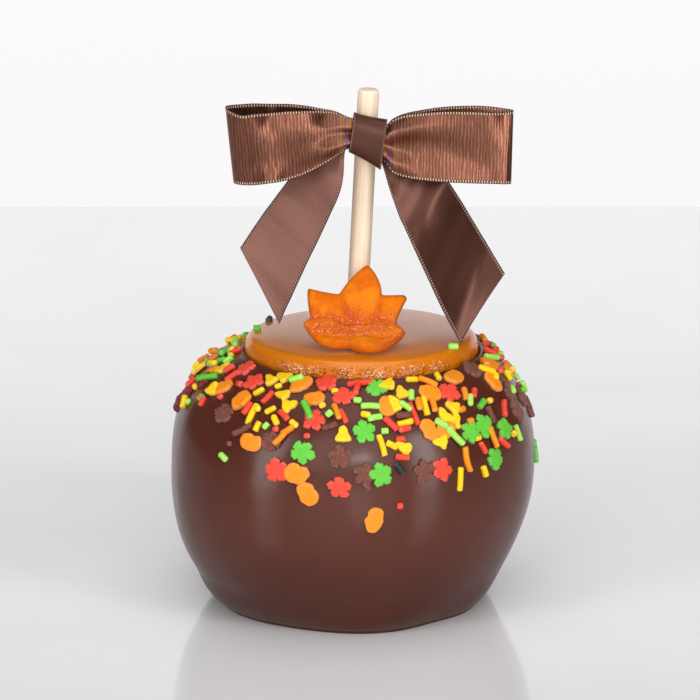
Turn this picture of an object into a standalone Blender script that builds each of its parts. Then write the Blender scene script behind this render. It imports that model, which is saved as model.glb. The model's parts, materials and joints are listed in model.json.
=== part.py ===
"""A chocolate caramel apple on a stick, with autumn sprinkles, a sugar maple leaf and a satin bow.

Run it with blender --background --python part.py. Lengths are in metres and +Z is up. The apple's
front faces -Y. The origin is the middle of the flat foot that it stands on.
"""

import bisect
import math
import random

import bmesh
import bpy
from mathutils import Matrix, Quaternion, Vector

MM = 0.001
TOUCHING_GAP = 0.3 * MM  # kept between two pieces that touch

# The chocolate-coated apple: a belly and a squarer shoulder that meet at the widest place.
WIDEST_RADIUS = 51.3 * MM
WIDEST_HEIGHT = 38.0 * MM
SHOULDER_REACH = 38.9 * MM
SHOULDER_POWER = 2.8
BELLY_REACH = 52.2 * MM
BELLY_POWER = 2.05
RIM_HEIGHT = 71.6 * MM  # where the chocolate's outer skin ends, round the caramel
LIP_THICKNESS = 1.5 * MM
LIP_RISE = 0.5 * MM
PROFILE_STEPS = 17
TURN_STEPS = 56
# Unevenness, as (waves round the apple, size, azimuth of a crest in degrees).
BODY_WAVES = ((2, 0.45 * MM, 40.0), (3, 0.40 * MM, 100.0), (5, 0.30 * MM, 12.0))
SAG = 1.2 * MM  # how far the belly leans to the left
SAG_HEIGHT = 14.0 * MM
SAG_SPREAD = 16.0 * MM
FOOT_RADIUS = 37.6 * MM
FOOT_WAVES = ((1, 0.9 * MM, 0.0), (2, 0.4 * MM, 90.0), (3, 0.9 * MM, -72.0), (7, 0.35 * MM, 20.0))
FOOT_LOBES = ((205.0, 25.0, 2.4 * MM), (-50.0, 16.0, -2.2 * MM))  # azimuth, spread in degrees, size
FOOT_HEIGHT = 2.2 * MM  # the low ledge of chocolate that ran down and set
FOOT_BLEND = 9.0 * MM
FOOT_ROUND = 0.4 * MM
RIM_SHIFT = 2.8 * MM  # the caramel's middle lies this far to the right of the apple's
RIM_SHIFT_START = 60.0 * MM

# The caramel cap, a flat round pool with a soft edge, sunk in the chocolate's rim.
CAP_RADIUS = 32.6 * MM
CAP_TOP = 77.4 * MM
CAP_SEAT = 69.6 * MM
CAP_EDGE_DEPTH = 5.8 * MM
CAP_EDGE_REACH = 3.4 * MM
CAP_EDGE_POWER = 2.8
CAP_EDGE_STEPS = 6
CAP_TAPER = 0.5 * MM
CAP_SIDES = 44
CAP_WAVES = ((2, 0.35 * MM, 20.0), (3, 0.45 * MM, 160.0), (6, 0.20 * MM, 0.0))

# The wooden stick, which leans to the right.
STICK_RADIUS = 3.0 * MM
STICK_FOOT = 14.0 * MM  # height of its hidden lower end, in the core
STICK_TOP = 146.8 * MM
STICK_AT_CAP = 1.1 * MM  # how far right of the middle it leaves the caramel
STICK_LEAN = math.radians(2.9)
STICK_CHAMFER = 0.9 * MM
STICK_SIDES = 18

# The sugar leaf, drawn flat: each corner is (right, up, bulge of the side to the next corner), clockwise.
LEAF_CORNERS = (
    (3.9, 18.4, 1.1),  # its tip
    (7.9, 9.6, 0.0),
    (14.9, 9.6, 0.6),
    (12.0, 0.9, 0.0),
    (14.6, -2.3, 5.2),
    (-1.2, -9.4, 3.9),  # the notch at its foot
    (-13.9, -0.3, 0.2),
    (-11.7, 2.9, 0.5),
    (-12.6, 11.7, -0.2),
    (-3.8, 9.9, 0.7),
)
LEAF_NOTCHES = (1, 3, 5, 7, 9)
LEAF_SIDE_STEP = 2.4  # distance between the points along a side
LEAF_RINGS = (0.3, 0.55, 0.78, 0.93, 1.0)
LEAF_BACK_RINGS = (0.97, 0.6)
LEAF_THICKNESS = 3.4 * MM
LEAF_GROOVE = 1.0 * MM
LEAF_GROOVE_SPREAD = math.radians(9.0)
LEAF_FOOT_ANGLE = math.radians(8.0)
LEAF_TOP_ANGLE = math.radians(62.0)
LEAF_BEND_START = -12.0 * MM
LEAF_BEND_LENGTH = 20.0 * MM
LEAF_MIDDLE = Vector((0.3 * MM, -15.5 * MM))  # place of its middle over the caramel

# The bow's ribbon and the band round its middle.
RIBBON_WIDTH = 21.2 * MM
RIBBON_THICKNESS = 0.45 * MM
BOW_HEIGHT = 134.6 * MM
BOW_RIGHT = 0.3 * MM
BOW_FORWARD = 8.4 * MM  # in front of the stick's axis
LOOP_LENGTHS = {-1: 38.2 * MM, 1: 40.0 * MM}
LOOP_SLANTS = {-1: 1.0 * MM, 1: 0.3 * MM}  # how much further out its upper edge ends
LOOP_DEPTHS = {-1: 4.6 * MM, 1: 3.2 * MM}
LOOP_EDGES = {  # mm: distance out, lower edge, upper edge, and how much higher the rear sheet's upper edge is
    -1: (
        (0.0, -4.0, 5.0, 0.0),
        (5.0, -2.7, 5.9, 0.0),
        (9.0, -5.2, 7.6, 0.0),
        (13.0, -7.7, 8.2, 0.1),
        (18.0, -9.9, 8.3, 0.5),
        (24.0, -11.5, 8.4, 0.6),
        (31.0, -12.3, 7.9, 0.9),
        (35.0, -12.4, 7.3, 1.3),
        (39.5, -12.4, 8.8, 0.0),
    ),
    1: (
        (0.0, -5.0, 4.2, 0.0),
        (5.0, -6.7, 3.5, 0.0),
        (7.0, -9.5, 5.4, 0.0),
        (10.0, -10.6, 6.7, 0.0),
        (15.0, -11.4, 7.6, 0.0),
        (21.0, -11.9, 8.3, 0.0),
        (29.0, -12.1, 8.4, 0.1),
        (35.0, -12.4, 8.1, 0.2),
        (40.5, -13.0, 8.0, 0.0),
    ),
}
PINCH_START = 4.2 * MM
PINCH_LENGTHS = {-1: 15.0 * MM, 1: 16.0 * MM}
PLEAT = 1.7 * MM  # two soft ridges run from the band along a loop's front, with a fold between them
PLEAT_START = 3.5 * MM
TAIL_PINCHES = {-1: 0.09, 1: 0.32}  # its height in the band, as a share of the ribbon's width
TAIL_PINCH_LENGTHS = {-1: 16.0 * MM, 1: 19.5 * MM}
TAIL_PLEAT = 0.5 * MM
CORE = Vector((3.0, 2.0, 3.4)) * MM  # half sizes of the pressed middle inside the band
TAIL_STARTS = {-1: Vector((-4.4, 1.1, 1.9)) * MM, 1: Vector((2.4, 1.4, -1.1)) * MM}
TAIL_START_WAYS = {-1: Vector((-0.41, 0.22, -0.73)), 1: Vector((0.51, 0.22, -0.31))}
TAIL_ENDS = {-1: Vector((-30.1, -0.6, -41.9)) * MM, 1: Vector((31.9, -3.8, -47.4)) * MM}
TAIL_END_WAYS = {-1: Vector((-0.51, 0.0, -0.99)), 1: Vector((0.51, -0.11, -0.85))}
TAIL_TWISTS = {-1: (74.0, 29.0), 1: (-64.0, -20.5)}  # degrees near the band and at the end
TAIL_SLANTS = {-1: 5.4 * MM, 1: 4.8 * MM}  # how far the slanting cut reaches along each edge
LOOP_END = 0.006  # a loop's two ends stop this share short of each other, inside the core
LOOP_STEPS = 18
TAIL_STEPS = 8
RIBBON_COLUMNS = 5
BAND_WIDTH = 9.4 * MM
BAND_HALF_HEIGHT = 6.5 * MM
BAND_HALF_DEPTH = 3.7 * MM
BAND_THICKNESS = 0.6 * MM
BAND_SIDES = 20
BAND_SQUARE = 0.75  # 1 is an ellipse and less is squarer
BAND_TILT = math.radians(-7.5)
BAND_SHEAR = 0.25  # its upper and lower edges fall more steeply than its tilt
BAND_FLARE = 0.24  # its right side is this share taller than its left side
TIE_RADIUS = 0.4 * MM
TIE_TURN = math.radians(450.0)
TIE_RISE = 2.6 * MM
TIE_STEPS = 18

# Sprinkles. A flat one is a plate with a lobed outline, and the others are short rods.
SPRINKLE_SEED = 11
LEAF_SPRINKLE = 3.4 * MM
PUMPKIN_SPRINKLE = 3.3 * MM
CORN_SPRINKLE = 2.4 * MM
PLATE_THICKNESS = 1.4 * MM
ROD_RADIUS = 0.9 * MM
ROD_LENGTHS = (3.8, 7.0)
SUNK = 0.45 * MM  # how deep a sprinkle's underside sits in the chocolate
LIFT = 0.7 * MM  # how far a sprinkle is raised where it lies on another
TOUCH_SHARE = 0.6  # two lie on each other where their middles are nearer than this share of both reaches
RIM_MARGIN = 1.5
BAND_DEPTH = 19.0  # how far down from the rim the sprinkles are thick, in mm
STRAY_DEPTH = 31.0
STRAY_SHARE = 0.14
# The front's larger sprinkles: azimuth and turn in degrees, distance down from the rim and length in mm.
FRONT_SPRINKLES = {
    "leaf": (
        (-114, 28.0, 10), (-106, 22.5, 40), (-94, 23.5, 0), (-94, 32.0, 70), (-139, 15.5, 20),
        (-117, 20.5, 50), (-152, 2.0, 30), (-139, 5.0, 0), (-106, 1.0, 20), (-97, 5.5, 60), (-168, 11.0, 10),
        (-172, 16.5, 40),
        (-178, 21.0, 0), (172, 13.0, 30), (-86, 16.5, 10), (-84, 2.5, 30), (-86, 28.0, 60), (-81, 28.5, 15),
        (-67, 28.5, 5), (-61, 28.5, 45), (-53, 7.0, 20), (-32, 1.5, 0), (-48, 20.0, 35), (-41, 19.5, 10),
        (-31, 22.0, 50), (-39, 29.0, 25), (-17, 14.0, 0), (-18, 19.5, 30), (-5, 18.0, 20), (1, 23.0, 45),
        (3, 36.5, 10), (22, 2.0, 30), (-104, 13.5, 60), (170, 3.0, 0), (160, 10.0, 50),
    ),
    "pumpkin": (
        (-107.5, 28.5, -15), (-103.5, 34.0, -40), (-124, 21.5, -5), (-136.5, 11.0, 80), (-151, 9.5, 45),
        (-117, 2.5, 55), (-108, 7.0, 10), (165, 8.0, 0), (-79, 9.0, 80), (-63.5, 17.0, -70), (-83, 41.0, 75),
        (-26, 8.0, -70), (-46, 2.0, 15), (-17, 3.0, -45), (-3, 9.0, 0), (158, 2.0, 30),
    ),
    "corn": (
        (-93, 17.5, 0), (-127, 1.0, 80), (-132, 3.0, 60), (-121, 7.0, 90), (-116, 10.0, -60), (-166, 6.0, 20),
        (175, 12.0, 0), (-73.5, 5.0, 10), (-79, 2.0, 90), (-76, 9.0, 30), (-57, 14.0, 20), (-53, 16.0, -40),
        (-73, 21.5, 60), (-60, 21.0, 80), (-61.5, 6.0, -15), (-52.5, 12.0, 50),
    ),
    "rod": (
        (-127, 14.0, 85, 6.5), (-165, 10.0, 45, 7.0), (-108, 11.0, -55, 6.0), (-126.5, 8.5, 75, 4.5),
        (-115.5, 13.0, -35, 4.2), (-153, 6.0, 85, 4.5), (-130, 13.0, 80, 4.0), (-94.5, 12.0, -60, 4.5),
        (-128.5, 18.5, 40, 6.2), (-91, 0.8, 3, 7.0), (-92, 3.5, 80, 4.2), (-97, 11.0, -65, 5.5),
        (-98, 15.0, 20, 4.5),
        (-77, 14.5, -50, 5.0), (-69, 12.0, -78, 6.8), (-72.5, 16.5, 10, 4.0), (-74, 24.0, -10, 4.0),
        (-64.5, 10.0, 90, 5.6), (-72, 14.5, 8, 4.6), (-80.5, 20.5, -78, 6.2), (-54.5, 32.0, 88, 6.8),
        (-85.5, 9.0, -3, 5.4), (-83, 12.5, 10, 4.2), (-54.5, 20.5, -55, 6.0), (-61, 2.5, -50, 5.8),
        (-51, 27.0, -80, 7.4), (-39, 23.0, -80, 6.2), (-26, 4.0, -50, 5.2), (-26.5, 17.0, 55, 5.2),
        (-23, 25.0, -80, 5.0), (-36, 17.0, -80, 5.0), (-75, 27.0, -55, 3.8), (-43, 10.5, 52, 6.4),
        (-33, 25.5, -45, 5.0), (12, 1.5, -40, 6.0), (-8, 2.0, -40, 6.2), (175, 5.0, 20, 6.6),
        (170, 1.0, 0, 4.6), (178, 2.5, 30, 4.2), (-178, 0.8, 70, 4.6), (152, 1.0, 60, 4.4),
    ),
}
BACK_SPRINKLES = {"leaf": 15, "pumpkin": 9, "corn": 9, "rod": 26}
BACK_AZIMUTHS = (28.0, 163.0)


def smooth(share):
    """0 below 0, 1 above 1, and an S curve between."""
    share = min(max(share, 0.0), 1.0)
    return share * share * (3 - 2 * share)


def waves(table, azimuth):
    return sum(size * math.cos(count * (azimuth - math.radians(crest))) for count, size, crest in table)


def lobes(table, azimuth):
    total = 0.0
    for crest, spread, size in table:
        apart = (math.degrees(azimuth) - crest + 180) % 360 - 180
        total += size * math.exp(-((apart / spread) ** 2))
    return total


def body_radius(height):
    """Radius of the even apple at a height."""
    up = height - WIDEST_HEIGHT
    reach, power = (SHOULDER_REACH, SHOULDER_POWER) if up > 0 else (BELLY_REACH, BELLY_POWER)
    return WIDEST_RADIUS * (1 - (abs(up) / reach) ** power) ** (1 / power)


def skin_table(steps=400):
    """Distances down the skin from the rim, with the radius and the height at each."""
    turn = [math.pi / 2 * i / steps for i in range(steps + 1)]
    upper = [WIDEST_HEIGHT + SHOULDER_REACH * math.cos(t) ** (2 / SHOULDER_POWER) for t in turn]
    heights = [RIM_HEIGHT] + [z for z in upper if z < RIM_HEIGHT]
    heights += [WIDEST_HEIGHT * (1 - i / steps) for i in range(1, steps + 1)]
    points = [(body_radius(z), z) for z in heights]
    drops = [0.0]
    for before, after in zip(points, points[1:]):
        drops.append(drops[-1] + math.dist(before, after))
    return drops, points


SKIN_DROPS, SKIN_POINTS = skin_table()


def skin_profile(drop):
    """(radius, height) of the even apple's skin, at a distance down from the rim."""
    i = min(max(bisect.bisect_left(SKIN_DROPS, drop), 1), len(SKIN_DROPS) - 1)
    share = (drop - SKIN_DROPS[i - 1]) / (SKIN_DROPS[i] - SKIN_DROPS[i - 1])
    return tuple(a + (b - a) * share for a, b in zip(SKIN_POINTS[i - 1], SKIN_POINTS[i]))


def uneven(radius, height, azimuth):
    """Where a point of the even apple lies once its waves, its foot and its shifted rim are added."""
    share = radius / WIDEST_RADIUS
    radius += waves(BODY_WAVES, azimuth) * share * math.sin(math.pi * min(height / RIM_HEIGHT, 1.0))
    foot = FOOT_RADIUS + waves(FOOT_WAVES, azimuth) + lobes(FOOT_LOBES, azimuth) - body_radius(0.0)
    radius += foot * share * (1 - smooth((height - FOOT_HEIGHT) / FOOT_BLEND))
    shift = RIM_SHIFT * smooth((height - RIM_SHIFT_START) / (RIM_HEIGHT - RIM_SHIFT_START))
    shift -= SAG * share * math.exp(-(((height - SAG_HEIGHT) / SAG_SPREAD) ** 2))
    return Vector((radius * math.cos(azimuth) + shift, radius * math.sin(azimuth), height))


def skin(azimuth, drop):
    return uneven(*skin_profile(drop), azimuth)


def skin_frame(azimuth, drop, turn_step=0.01, drop_step=0.4 * MM):
    """Point on the chocolate and the outward normal there."""
    round_it = skin(azimuth + turn_step, drop) - skin(azimuth - turn_step, drop)
    down = skin(azimuth, drop + drop_step) - skin(azimuth, max(drop - drop_step, 0.0))
    return skin(azimuth, drop), down.cross(round_it).normalized()


def new_object(name, mesh, collection):
    made = bpy.data.objects.new(name, mesh)
    collection.objects.link(made)
    return made


def mesh_of(build, name):
    """A mesh from a function that fills a bmesh."""
    bm = bmesh.new()
    build(bm)
    bmesh.ops.recalc_face_normals(bm, faces=bm.faces)
    mesh = bpy.data.meshes.new(name)
    bm.to_mesh(mesh)
    bm.free()
    return mesh


def apply_modifiers(made):
    """Replaces an object's mesh by its evaluated one, as a curve's or a Boolean's result."""
    graph = bpy.context.evaluated_depsgraph_get()
    mesh = bpy.data.meshes.new_from_object(made.evaluated_get(graph))
    made.modifiers.clear()
    made.data = mesh
    return made


def turned(name, profile, steps, collection, place):
    """A solid of revolution about Z. Its profile starts and ends on the axis, and place moves each point."""
    mesh = bpy.data.meshes.new(name)
    mesh.from_pydata([(r, 0, z) for r, z in profile], [(i, i + 1) for i in range(len(profile) - 1)], [])
    made = new_object(name, mesh, collection)
    screw = made.modifiers.new("Turn", "SCREW")
    screw.steps = screw.render_steps = steps
    screw.use_merge_vertices = True
    screw.merge_threshold = 0.00001
    apply_modifiers(made)
    for vertex in made.data.vertices:
        radius, azimuth = math.hypot(*vertex.co.xy), math.atan2(vertex.co.y, vertex.co.x)
        vertex.co = place(radius, vertex.co.z, azimuth)
    return made


def boolean(made, operation, other, solver="EXACT"):
    """Applies a Boolean with an object, or with every object of a collection."""
    modifier = made.modifiers.new(operation.title(), "BOOLEAN")
    modifier.operation = operation
    modifier.solver = solver
    if isinstance(other, bpy.types.Collection):
        modifier.operand_type = "COLLECTION"
        modifier.collection = other
    else:
        modifier.object = other
    return apply_modifiers(made)


def union_and_remove(made, collection):
    """Joins every object of a collection to an object, and removes the collection."""
    bpy.context.view_layer.update()
    boolean(made, "UNION", collection)
    for joined in list(collection.objects):
        bpy.data.objects.remove(joined)
    bpy.data.collections.remove(collection)
    keep_largest_shell(made)


def as_cutter(made):
    made.hide_render = True
    made.display_type = "WIRE"
    return made


def keep_largest_shell(made):
    """Drops loose scraps, and fills sealed hollows by dropping their walls."""
    bm = bmesh.new()
    bm.from_mesh(made.data)
    left, shells = set(bm.faces), []
    while left:
        shell, edge = set(), [left.pop()]
        while edge:
            face = edge.pop()
            shell.add(face)
            near = {f for e in face.edges for f in e.link_faces} & left
            left -= near
            edge.extend(near)
        shells.append(shell)
    shells.sort(key=len)
    bmesh.ops.delete(bm, geom=[f for shell in shells[:-1] for f in shell], context="FACES")
    bm.to_mesh(made.data)
    bm.free()


def material(name, colour, roughness, metallic=0.0):
    made = bpy.data.materials.new(name)
    made.diffuse_color = (*colour, 1.0)
    made.use_nodes = True
    shader = made.node_tree.nodes["Principled BSDF"]
    shader.inputs["Base Color"].default_value = (*colour, 1.0)
    shader.inputs["Roughness"].default_value = roughness
    shader.inputs["Metallic"].default_value = metallic
    return made


def finish(made, look, sharp_angle=40.0):
    made.data.materials.clear()
    made.data.materials.append(look)
    made.data.shade_smooth()
    made.data.set_sharp_from_angle(angle=math.radians(sharp_angle))


# The stick


def stick_axis(height):
    """Place on the leaning stick's axis at a height."""
    return Vector((STICK_AT_CAP + (height - CAP_TOP) * math.tan(STICK_LEAN), 0.0, height))


def cylinder_along(name, foot, top, radius, segments, collection):
    along = top - foot
    mesh = mesh_of(
        lambda bm: bmesh.ops.create_cone(
            bm, cap_ends=True, segments=segments, radius1=radius, radius2=radius, depth=along.length
        ),
        name,
    )
    made = new_object(name, mesh, collection)
    made.location = (foot + top) / 2
    made.rotation_mode = "QUATERNION"
    made.rotation_quaternion = Vector((0, 0, 1)).rotation_difference(along)
    return made


def make_stick(collection):
    made = cylinder_along(
        "stick", stick_axis(STICK_FOOT), stick_axis(STICK_TOP), STICK_RADIUS, STICK_SIDES, collection
    )
    bevel = made.modifiers.new("Worn ends", "BEVEL")
    bevel.width = STICK_CHAMFER
    bevel.segments = 2
    bevel.limit_method = "ANGLE"
    finish(made, material("birch", (0.80, 0.62, 0.42), 0.55))
    return made


def stick_cutter(collection):
    below, above = stick_axis(STICK_FOOT - TOUCHING_GAP), stick_axis(CAP_TOP + STICK_RADIUS)
    return as_cutter(
        cylinder_along("stick_bore", below, above, STICK_RADIUS + TOUCHING_GAP, STICK_SIDES, collection)
    )


# The caramel cap


def cap_profile(grow=0.0):
    """From the top's middle, over the soft edge, to the middle of its underside."""
    edge = []
    for i in range(CAP_EDGE_STEPS + 1):
        turn = math.pi / 2 * i / CAP_EDGE_STEPS
        inset = CAP_EDGE_REACH * (1 - math.sin(turn) ** (2 / CAP_EDGE_POWER))
        down = CAP_EDGE_DEPTH * (1 - math.cos(turn) ** (2 / CAP_EDGE_POWER))
        edge.append((CAP_RADIUS - inset + grow, CAP_TOP - down + grow))
    inner = [(0.0, CAP_TOP + grow), (CAP_RADIUS / 2, CAP_TOP + grow)]
    under = [(CAP_RADIUS - CAP_TAPER + grow, CAP_SEAT - grow), (0.0, CAP_SEAT - grow)]
    return inner + edge + under


def cap_place(radius, height, azimuth):
    radius += waves(CAP_WAVES, azimuth) * (radius / CAP_RADIUS) ** 2
    return Vector((RIM_SHIFT + radius * math.cos(azimuth), radius * math.sin(azimuth), height))


def make_cap(collection, bore):
    made = turned("caramel_cap", cap_profile(), CAP_SIDES, collection, cap_place)
    boolean(made, "DIFFERENCE", bore)
    finish(made, material("caramel", (0.55, 0.21, 0.045), 0.22), 50.0)
    return made


# Sprinkles


def leaf_radius(angle):
    return LEAF_SPRINKLE * (0.80 + 0.20 * math.cos(5 * angle))


def pumpkin_radius(angle):
    return PUMPKIN_SPRINKLE * (0.84 + 0.16 * math.cos(2 * angle))


def corn_radius(angle):
    return CORN_SPRINKLE * (0.86 + 0.14 * math.cos(3 * angle))


PLATES = {
    "leaf": (leaf_radius, 10, LEAF_SPRINKLE),
    "pumpkin": (pumpkin_radius, 8, PUMPKIN_SPRINKLE),
    "corn": (corn_radius, 6, CORN_SPRINKLE),
}


def fill_plate(bm, radius_at, segments):
    """A flat prism whose underside is sunk in the surface it lies on."""
    bmesh.ops.create_cone(bm, cap_ends=True, segments=segments, radius1=1, radius2=1, depth=PLATE_THICKNESS)
    for vertex in bm.verts:
        radius = radius_at(math.atan2(vertex.co.y, vertex.co.x))
        vertex.co = (vertex.co.x * radius, vertex.co.y * radius, vertex.co.z + PLATE_THICKNESS / 2 - SUNK)


def fill_rod(bm, length):
    bmesh.ops.create_cone(bm, cap_ends=True, segments=6, radius1=ROD_RADIUS, radius2=ROD_RADIUS, depth=length)
    bmesh.ops.rotate(bm, verts=bm.verts, matrix=Matrix.Rotation(math.pi / 2, 3, "Y"))
    bmesh.ops.translate(bm, verts=bm.verts, vec=(0, 0, ROD_RADIUS - SUNK))


def sprinkle_reach(kind, length):
    return length / 2 if kind == "rod" else PLATES[kind][2]


def sprinkle_layout():
    """Each sprinkle as (kind, length, azimuth, drop, turn, lift): the front's as listed, the rest drawn.

    One that lies on an earlier one is lifted, and its lift is counted from the lower one's.
    """
    draw = random.Random(SPRINKLE_SEED)
    wanted = []
    for kind, rows in FRONT_SPRINKLES.items():
        for azimuth, drop, turn, *length in rows:
            wanted.append((kind, MM * sum(length), math.radians(azimuth), drop * MM, math.radians(turn)))
        for _ in range(BACK_SPRINKLES[kind]):
            length = draw.uniform(*ROD_LENGTHS) if kind == "rod" else 0.0
            azimuth = math.radians(draw.uniform(*BACK_AZIMUTHS))
            drop = draw.uniform(RIM_MARGIN, BAND_DEPTH)
            if draw.random() < STRAY_SHARE:
                drop = draw.uniform(BAND_DEPTH, STRAY_DEPTH)
            wanted.append((kind, length * MM, azimuth, drop * MM, draw.uniform(0, 2 * math.pi)))
    laid, places = [], []
    for kind, length, azimuth, drop, turn in wanted:
        point, reach = skin(azimuth, drop), sprinkle_reach(kind, length)
        under = [up for other, far, up in places if (point - other).length < TOUCH_SHARE * (reach + far)]
        lift = min(2 * LIFT, max(under) + LIFT) if under else 0.0
        places.append((point, reach, lift))
        laid.append((kind, length, azimuth, drop, turn, lift))
    return laid


def make_sprinkles(collection):
    for number, (kind, length, azimuth, drop, turn, lift) in enumerate(sprinkle_layout()):
        if kind == "rod":
            mesh = mesh_of(lambda bm, length=length: fill_rod(bm, length), kind)
        else:
            mesh = mesh_of(lambda bm, kind=kind: fill_plate(bm, *PLATES[kind][:2]), kind)
        made = new_object(f"sprinkle_{number}", mesh, collection)
        point, normal = skin_frame(azimuth, drop)
        along = Vector((-math.sin(azimuth), math.cos(azimuth), 0)).cross(normal).cross(-normal).normalized()
        frame = Matrix((along, normal.cross(along), normal)).transposed()
        turned_frame = frame @ Matrix.Rotation(turn, 3, "Z")
        made.matrix_world = Matrix.Translation(point + normal * lift) @ turned_frame.to_4x4()


# The chocolate-coated apple


def body_profile():
    """From the middle of the top, over the lip and down the skin, to the middle of the foot."""
    rim_radius = body_radius(RIM_HEIGHT)
    floor = RIM_HEIGHT - 2 * LIP_RISE
    lip = [
        (0.0, floor),
        (rim_radius - LIP_THICKNESS, floor),
        (rim_radius - 0.8 * LIP_THICKNESS, RIM_HEIGHT + LIP_RISE),
        (rim_radius - 0.35 * LIP_THICKNESS, RIM_HEIGHT + LIP_RISE),
    ]
    length = SKIN_DROPS[-1]
    side = [skin_profile(length * i / PROFILE_STEPS) for i in range(PROFILE_STEPS + 1)]
    foot = side[-1][0]
    return lip + side[:-1] + [(foot + FOOT_ROUND, 1.5 * FOOT_ROUND), (foot, 0.0), (0.0, 0.0)]


def make_apple(collection, helpers, bore):
    made = turned("chocolate_apple", body_profile(), TURN_STEPS, collection, uneven)
    sprinkles = bpy.data.collections.new("sprinkles")
    bpy.context.scene.collection.children.link(sprinkles)
    make_sprinkles(sprinkles)
    union_and_remove(made, sprinkles)
    seat = as_cutter(turned("caramel_seat", cap_profile(TOUCHING_GAP), CAP_SIDES, helpers, cap_place))
    boolean(made, "DIFFERENCE", seat)
    boolean(made, "DIFFERENCE", bore)
    keep_largest_shell(made)
    finish(made, material("chocolate", (0.115, 0.045, 0.03), 0.42))
    return made


# The sugar leaf


def leaf_outline():
    """Points round the flat leaf, whose sides bulge between their corners."""
    points = []
    for i, (x, y, bulge) in enumerate(LEAF_CORNERS):
        start, end = Vector((x, y)), Vector(LEAF_CORNERS[(i + 1) % len(LEAF_CORNERS)][:2])
        side = end - start
        outward = Vector((-side.y, side.x)).normalized()
        steps = max(2, round(side.length / LEAF_SIDE_STEP))
        for k in range(steps):
            share = k / steps
            points.append((start + side * share + outward * bulge * (4 * share * (1 - share)) ** 0.8) * MM)
    return points


def leaf_groove(point):
    """1 on a line from the leaf's middle to a notch, falling to 0 away from it."""
    angle = math.atan2(point.y, point.x)
    near = []
    for corner in LEAF_NOTCHES:
        x, y, _ = LEAF_CORNERS[corner]
        apart = abs((angle - math.atan2(y, x) + math.pi) % (2 * math.pi) - math.pi)
        near.append(math.exp(-((apart / LEAF_GROOVE_SPREAD) ** 2)))
    return max(near)


def leaf_height(share, groove):
    """Height of the puffed front, from the leaf's middle (share 0) to its edge (share 1)."""
    puffed = LEAF_THICKNESS * (0.36 + 0.64 * (1 - share**3.2) ** 0.5)
    return puffed - LEAF_GROOVE * groove * math.sin(math.pi * min(share + 0.12, 1.0)) ** 0.7


def leaf_spine(along, steps=40):
    """How far back and up a place along the bent leaf lies from its middle, and the leaf's angle there."""

    def angle_at(place):
        bend = smooth((place - LEAF_BEND_START) / LEAF_BEND_LENGTH)
        return LEAF_FOOT_ANGLE + (LEAF_TOP_ANGLE - LEAF_FOOT_ANGLE) * bend

    angles = [angle_at(along * (i + 0.5) / steps) for i in range(steps)]
    back = sum(math.cos(angle) for angle in angles) * along / steps
    up = sum(math.sin(angle) for angle in angles) * along / steps
    return back, up, angle_at(along)


def bent(point):
    back, up, angle = leaf_spine(point.y)
    return Vector((point.x, back - math.sin(angle) * point.z, up + math.cos(angle) * point.z))


def fill_leaf(bm):
    outline = leaf_outline()
    count = len(outline)
    middle_front = bm.verts.new((0, 0, leaf_height(0.0, 0.0)))
    middle_back = bm.verts.new((0, 0, 0))
    rows = []
    for share in LEAF_RINGS:
        rows.append([bm.verts.new((*(p * share), leaf_height(share, leaf_groove(p)))) for p in outline])
    for share in LEAF_BACK_RINGS:
        rows.append([bm.verts.new((*(p * share), 0.0)) for p in outline])
    for i in range(count):
        j = (i + 1) % count
        bm.faces.new((middle_front, rows[0][j], rows[0][i]))
        bm.faces.new((middle_back, rows[-1][i], rows[-1][j]))
        for inner, outer in zip(rows, rows[1:]):
            bm.faces.new((inner[i], inner[j], outer[j], outer[i]))


def make_leaf(collection):
    made = new_object("maple_leaf", mesh_of(fill_leaf, "maple_leaf"), collection)
    for vertex in made.data.vertices:
        vertex.co = bent(vertex.co)
    lowest = min(vertex.co.z for vertex in made.data.vertices)
    made.location = (*LEAF_MIDDLE, CAP_TOP + TOUCHING_GAP - lowest)
    finish(made, material("leaf_sugar", (0.85, 0.25, 0.02), 0.4), 60.0)
    return made


# The bow


def bow_middle():
    return stick_axis(BOW_HEIGHT) + Vector((BOW_RIGHT, -BOW_FORWARD, 0))


def curves_at(rows, place):
    """Numbers at a place, on smooth curves through a table whose rows each begin with their place."""
    i = sum(row[0] <= place for row in rows[1:-1])
    before, first, second, after = rows[max(i - 1, 0)], rows[i], rows[i + 1], rows[min(i + 2, len(rows) - 1)]
    reach = second[0] - first[0]
    s = (place - first[0]) / reach
    found = []
    for a, b, c, d in zip(before[1:], first[1:], second[1:], after[1:]):
        leave = (c - a) / (second[0] - before[0]) * reach
        arrive = (d - b) / (after[0] - first[0]) * reach
        bend = leave * (s**3 - 2 * s**2 + s) + arrive * (s**3 - s**2)
        found.append(b + (c - b) * (3 * s**2 - 2 * s**3) + bend)
    return found


def gathered(distance, length):
    """1 in the band, falling to 0 where the ribbon has its full width."""
    return 1 - smooth(max(distance - PINCH_START, 0.0) / length)


def ridges(across, gather):
    """How high a place is on the gathered ribbon's two ridges, from 0 to 1."""
    return gather * (0.5 - 0.5 * math.cos(4 * math.pi * across / RIBBON_WIDTH))


def loop_point(side, share, across):
    """A place on a loop, which runs out along the front, round its end and back along the rear."""
    turn = math.pi * share
    out = (LOOP_LENGTHS[side] + LOOP_SLANTS[side] * 2 * across / RIBBON_WIDTH) * math.sin(turn) ** 0.8
    low, high, rear_rise = curves_at(LOOP_EDGES[side], out / MM)
    depth = -LOOP_DEPTHS[side] * math.sin(2 * turn)
    if share > 0.5:
        high += rear_rise
    else:
        depth -= PLEAT * ridges(across, gathered(out, PINCH_LENGTHS[side])) * smooth(out / PLEAT_START)
    return Vector((side * out, depth, (low + (high - low) * (across / RIBBON_WIDTH + 0.5)) * MM))


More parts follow.
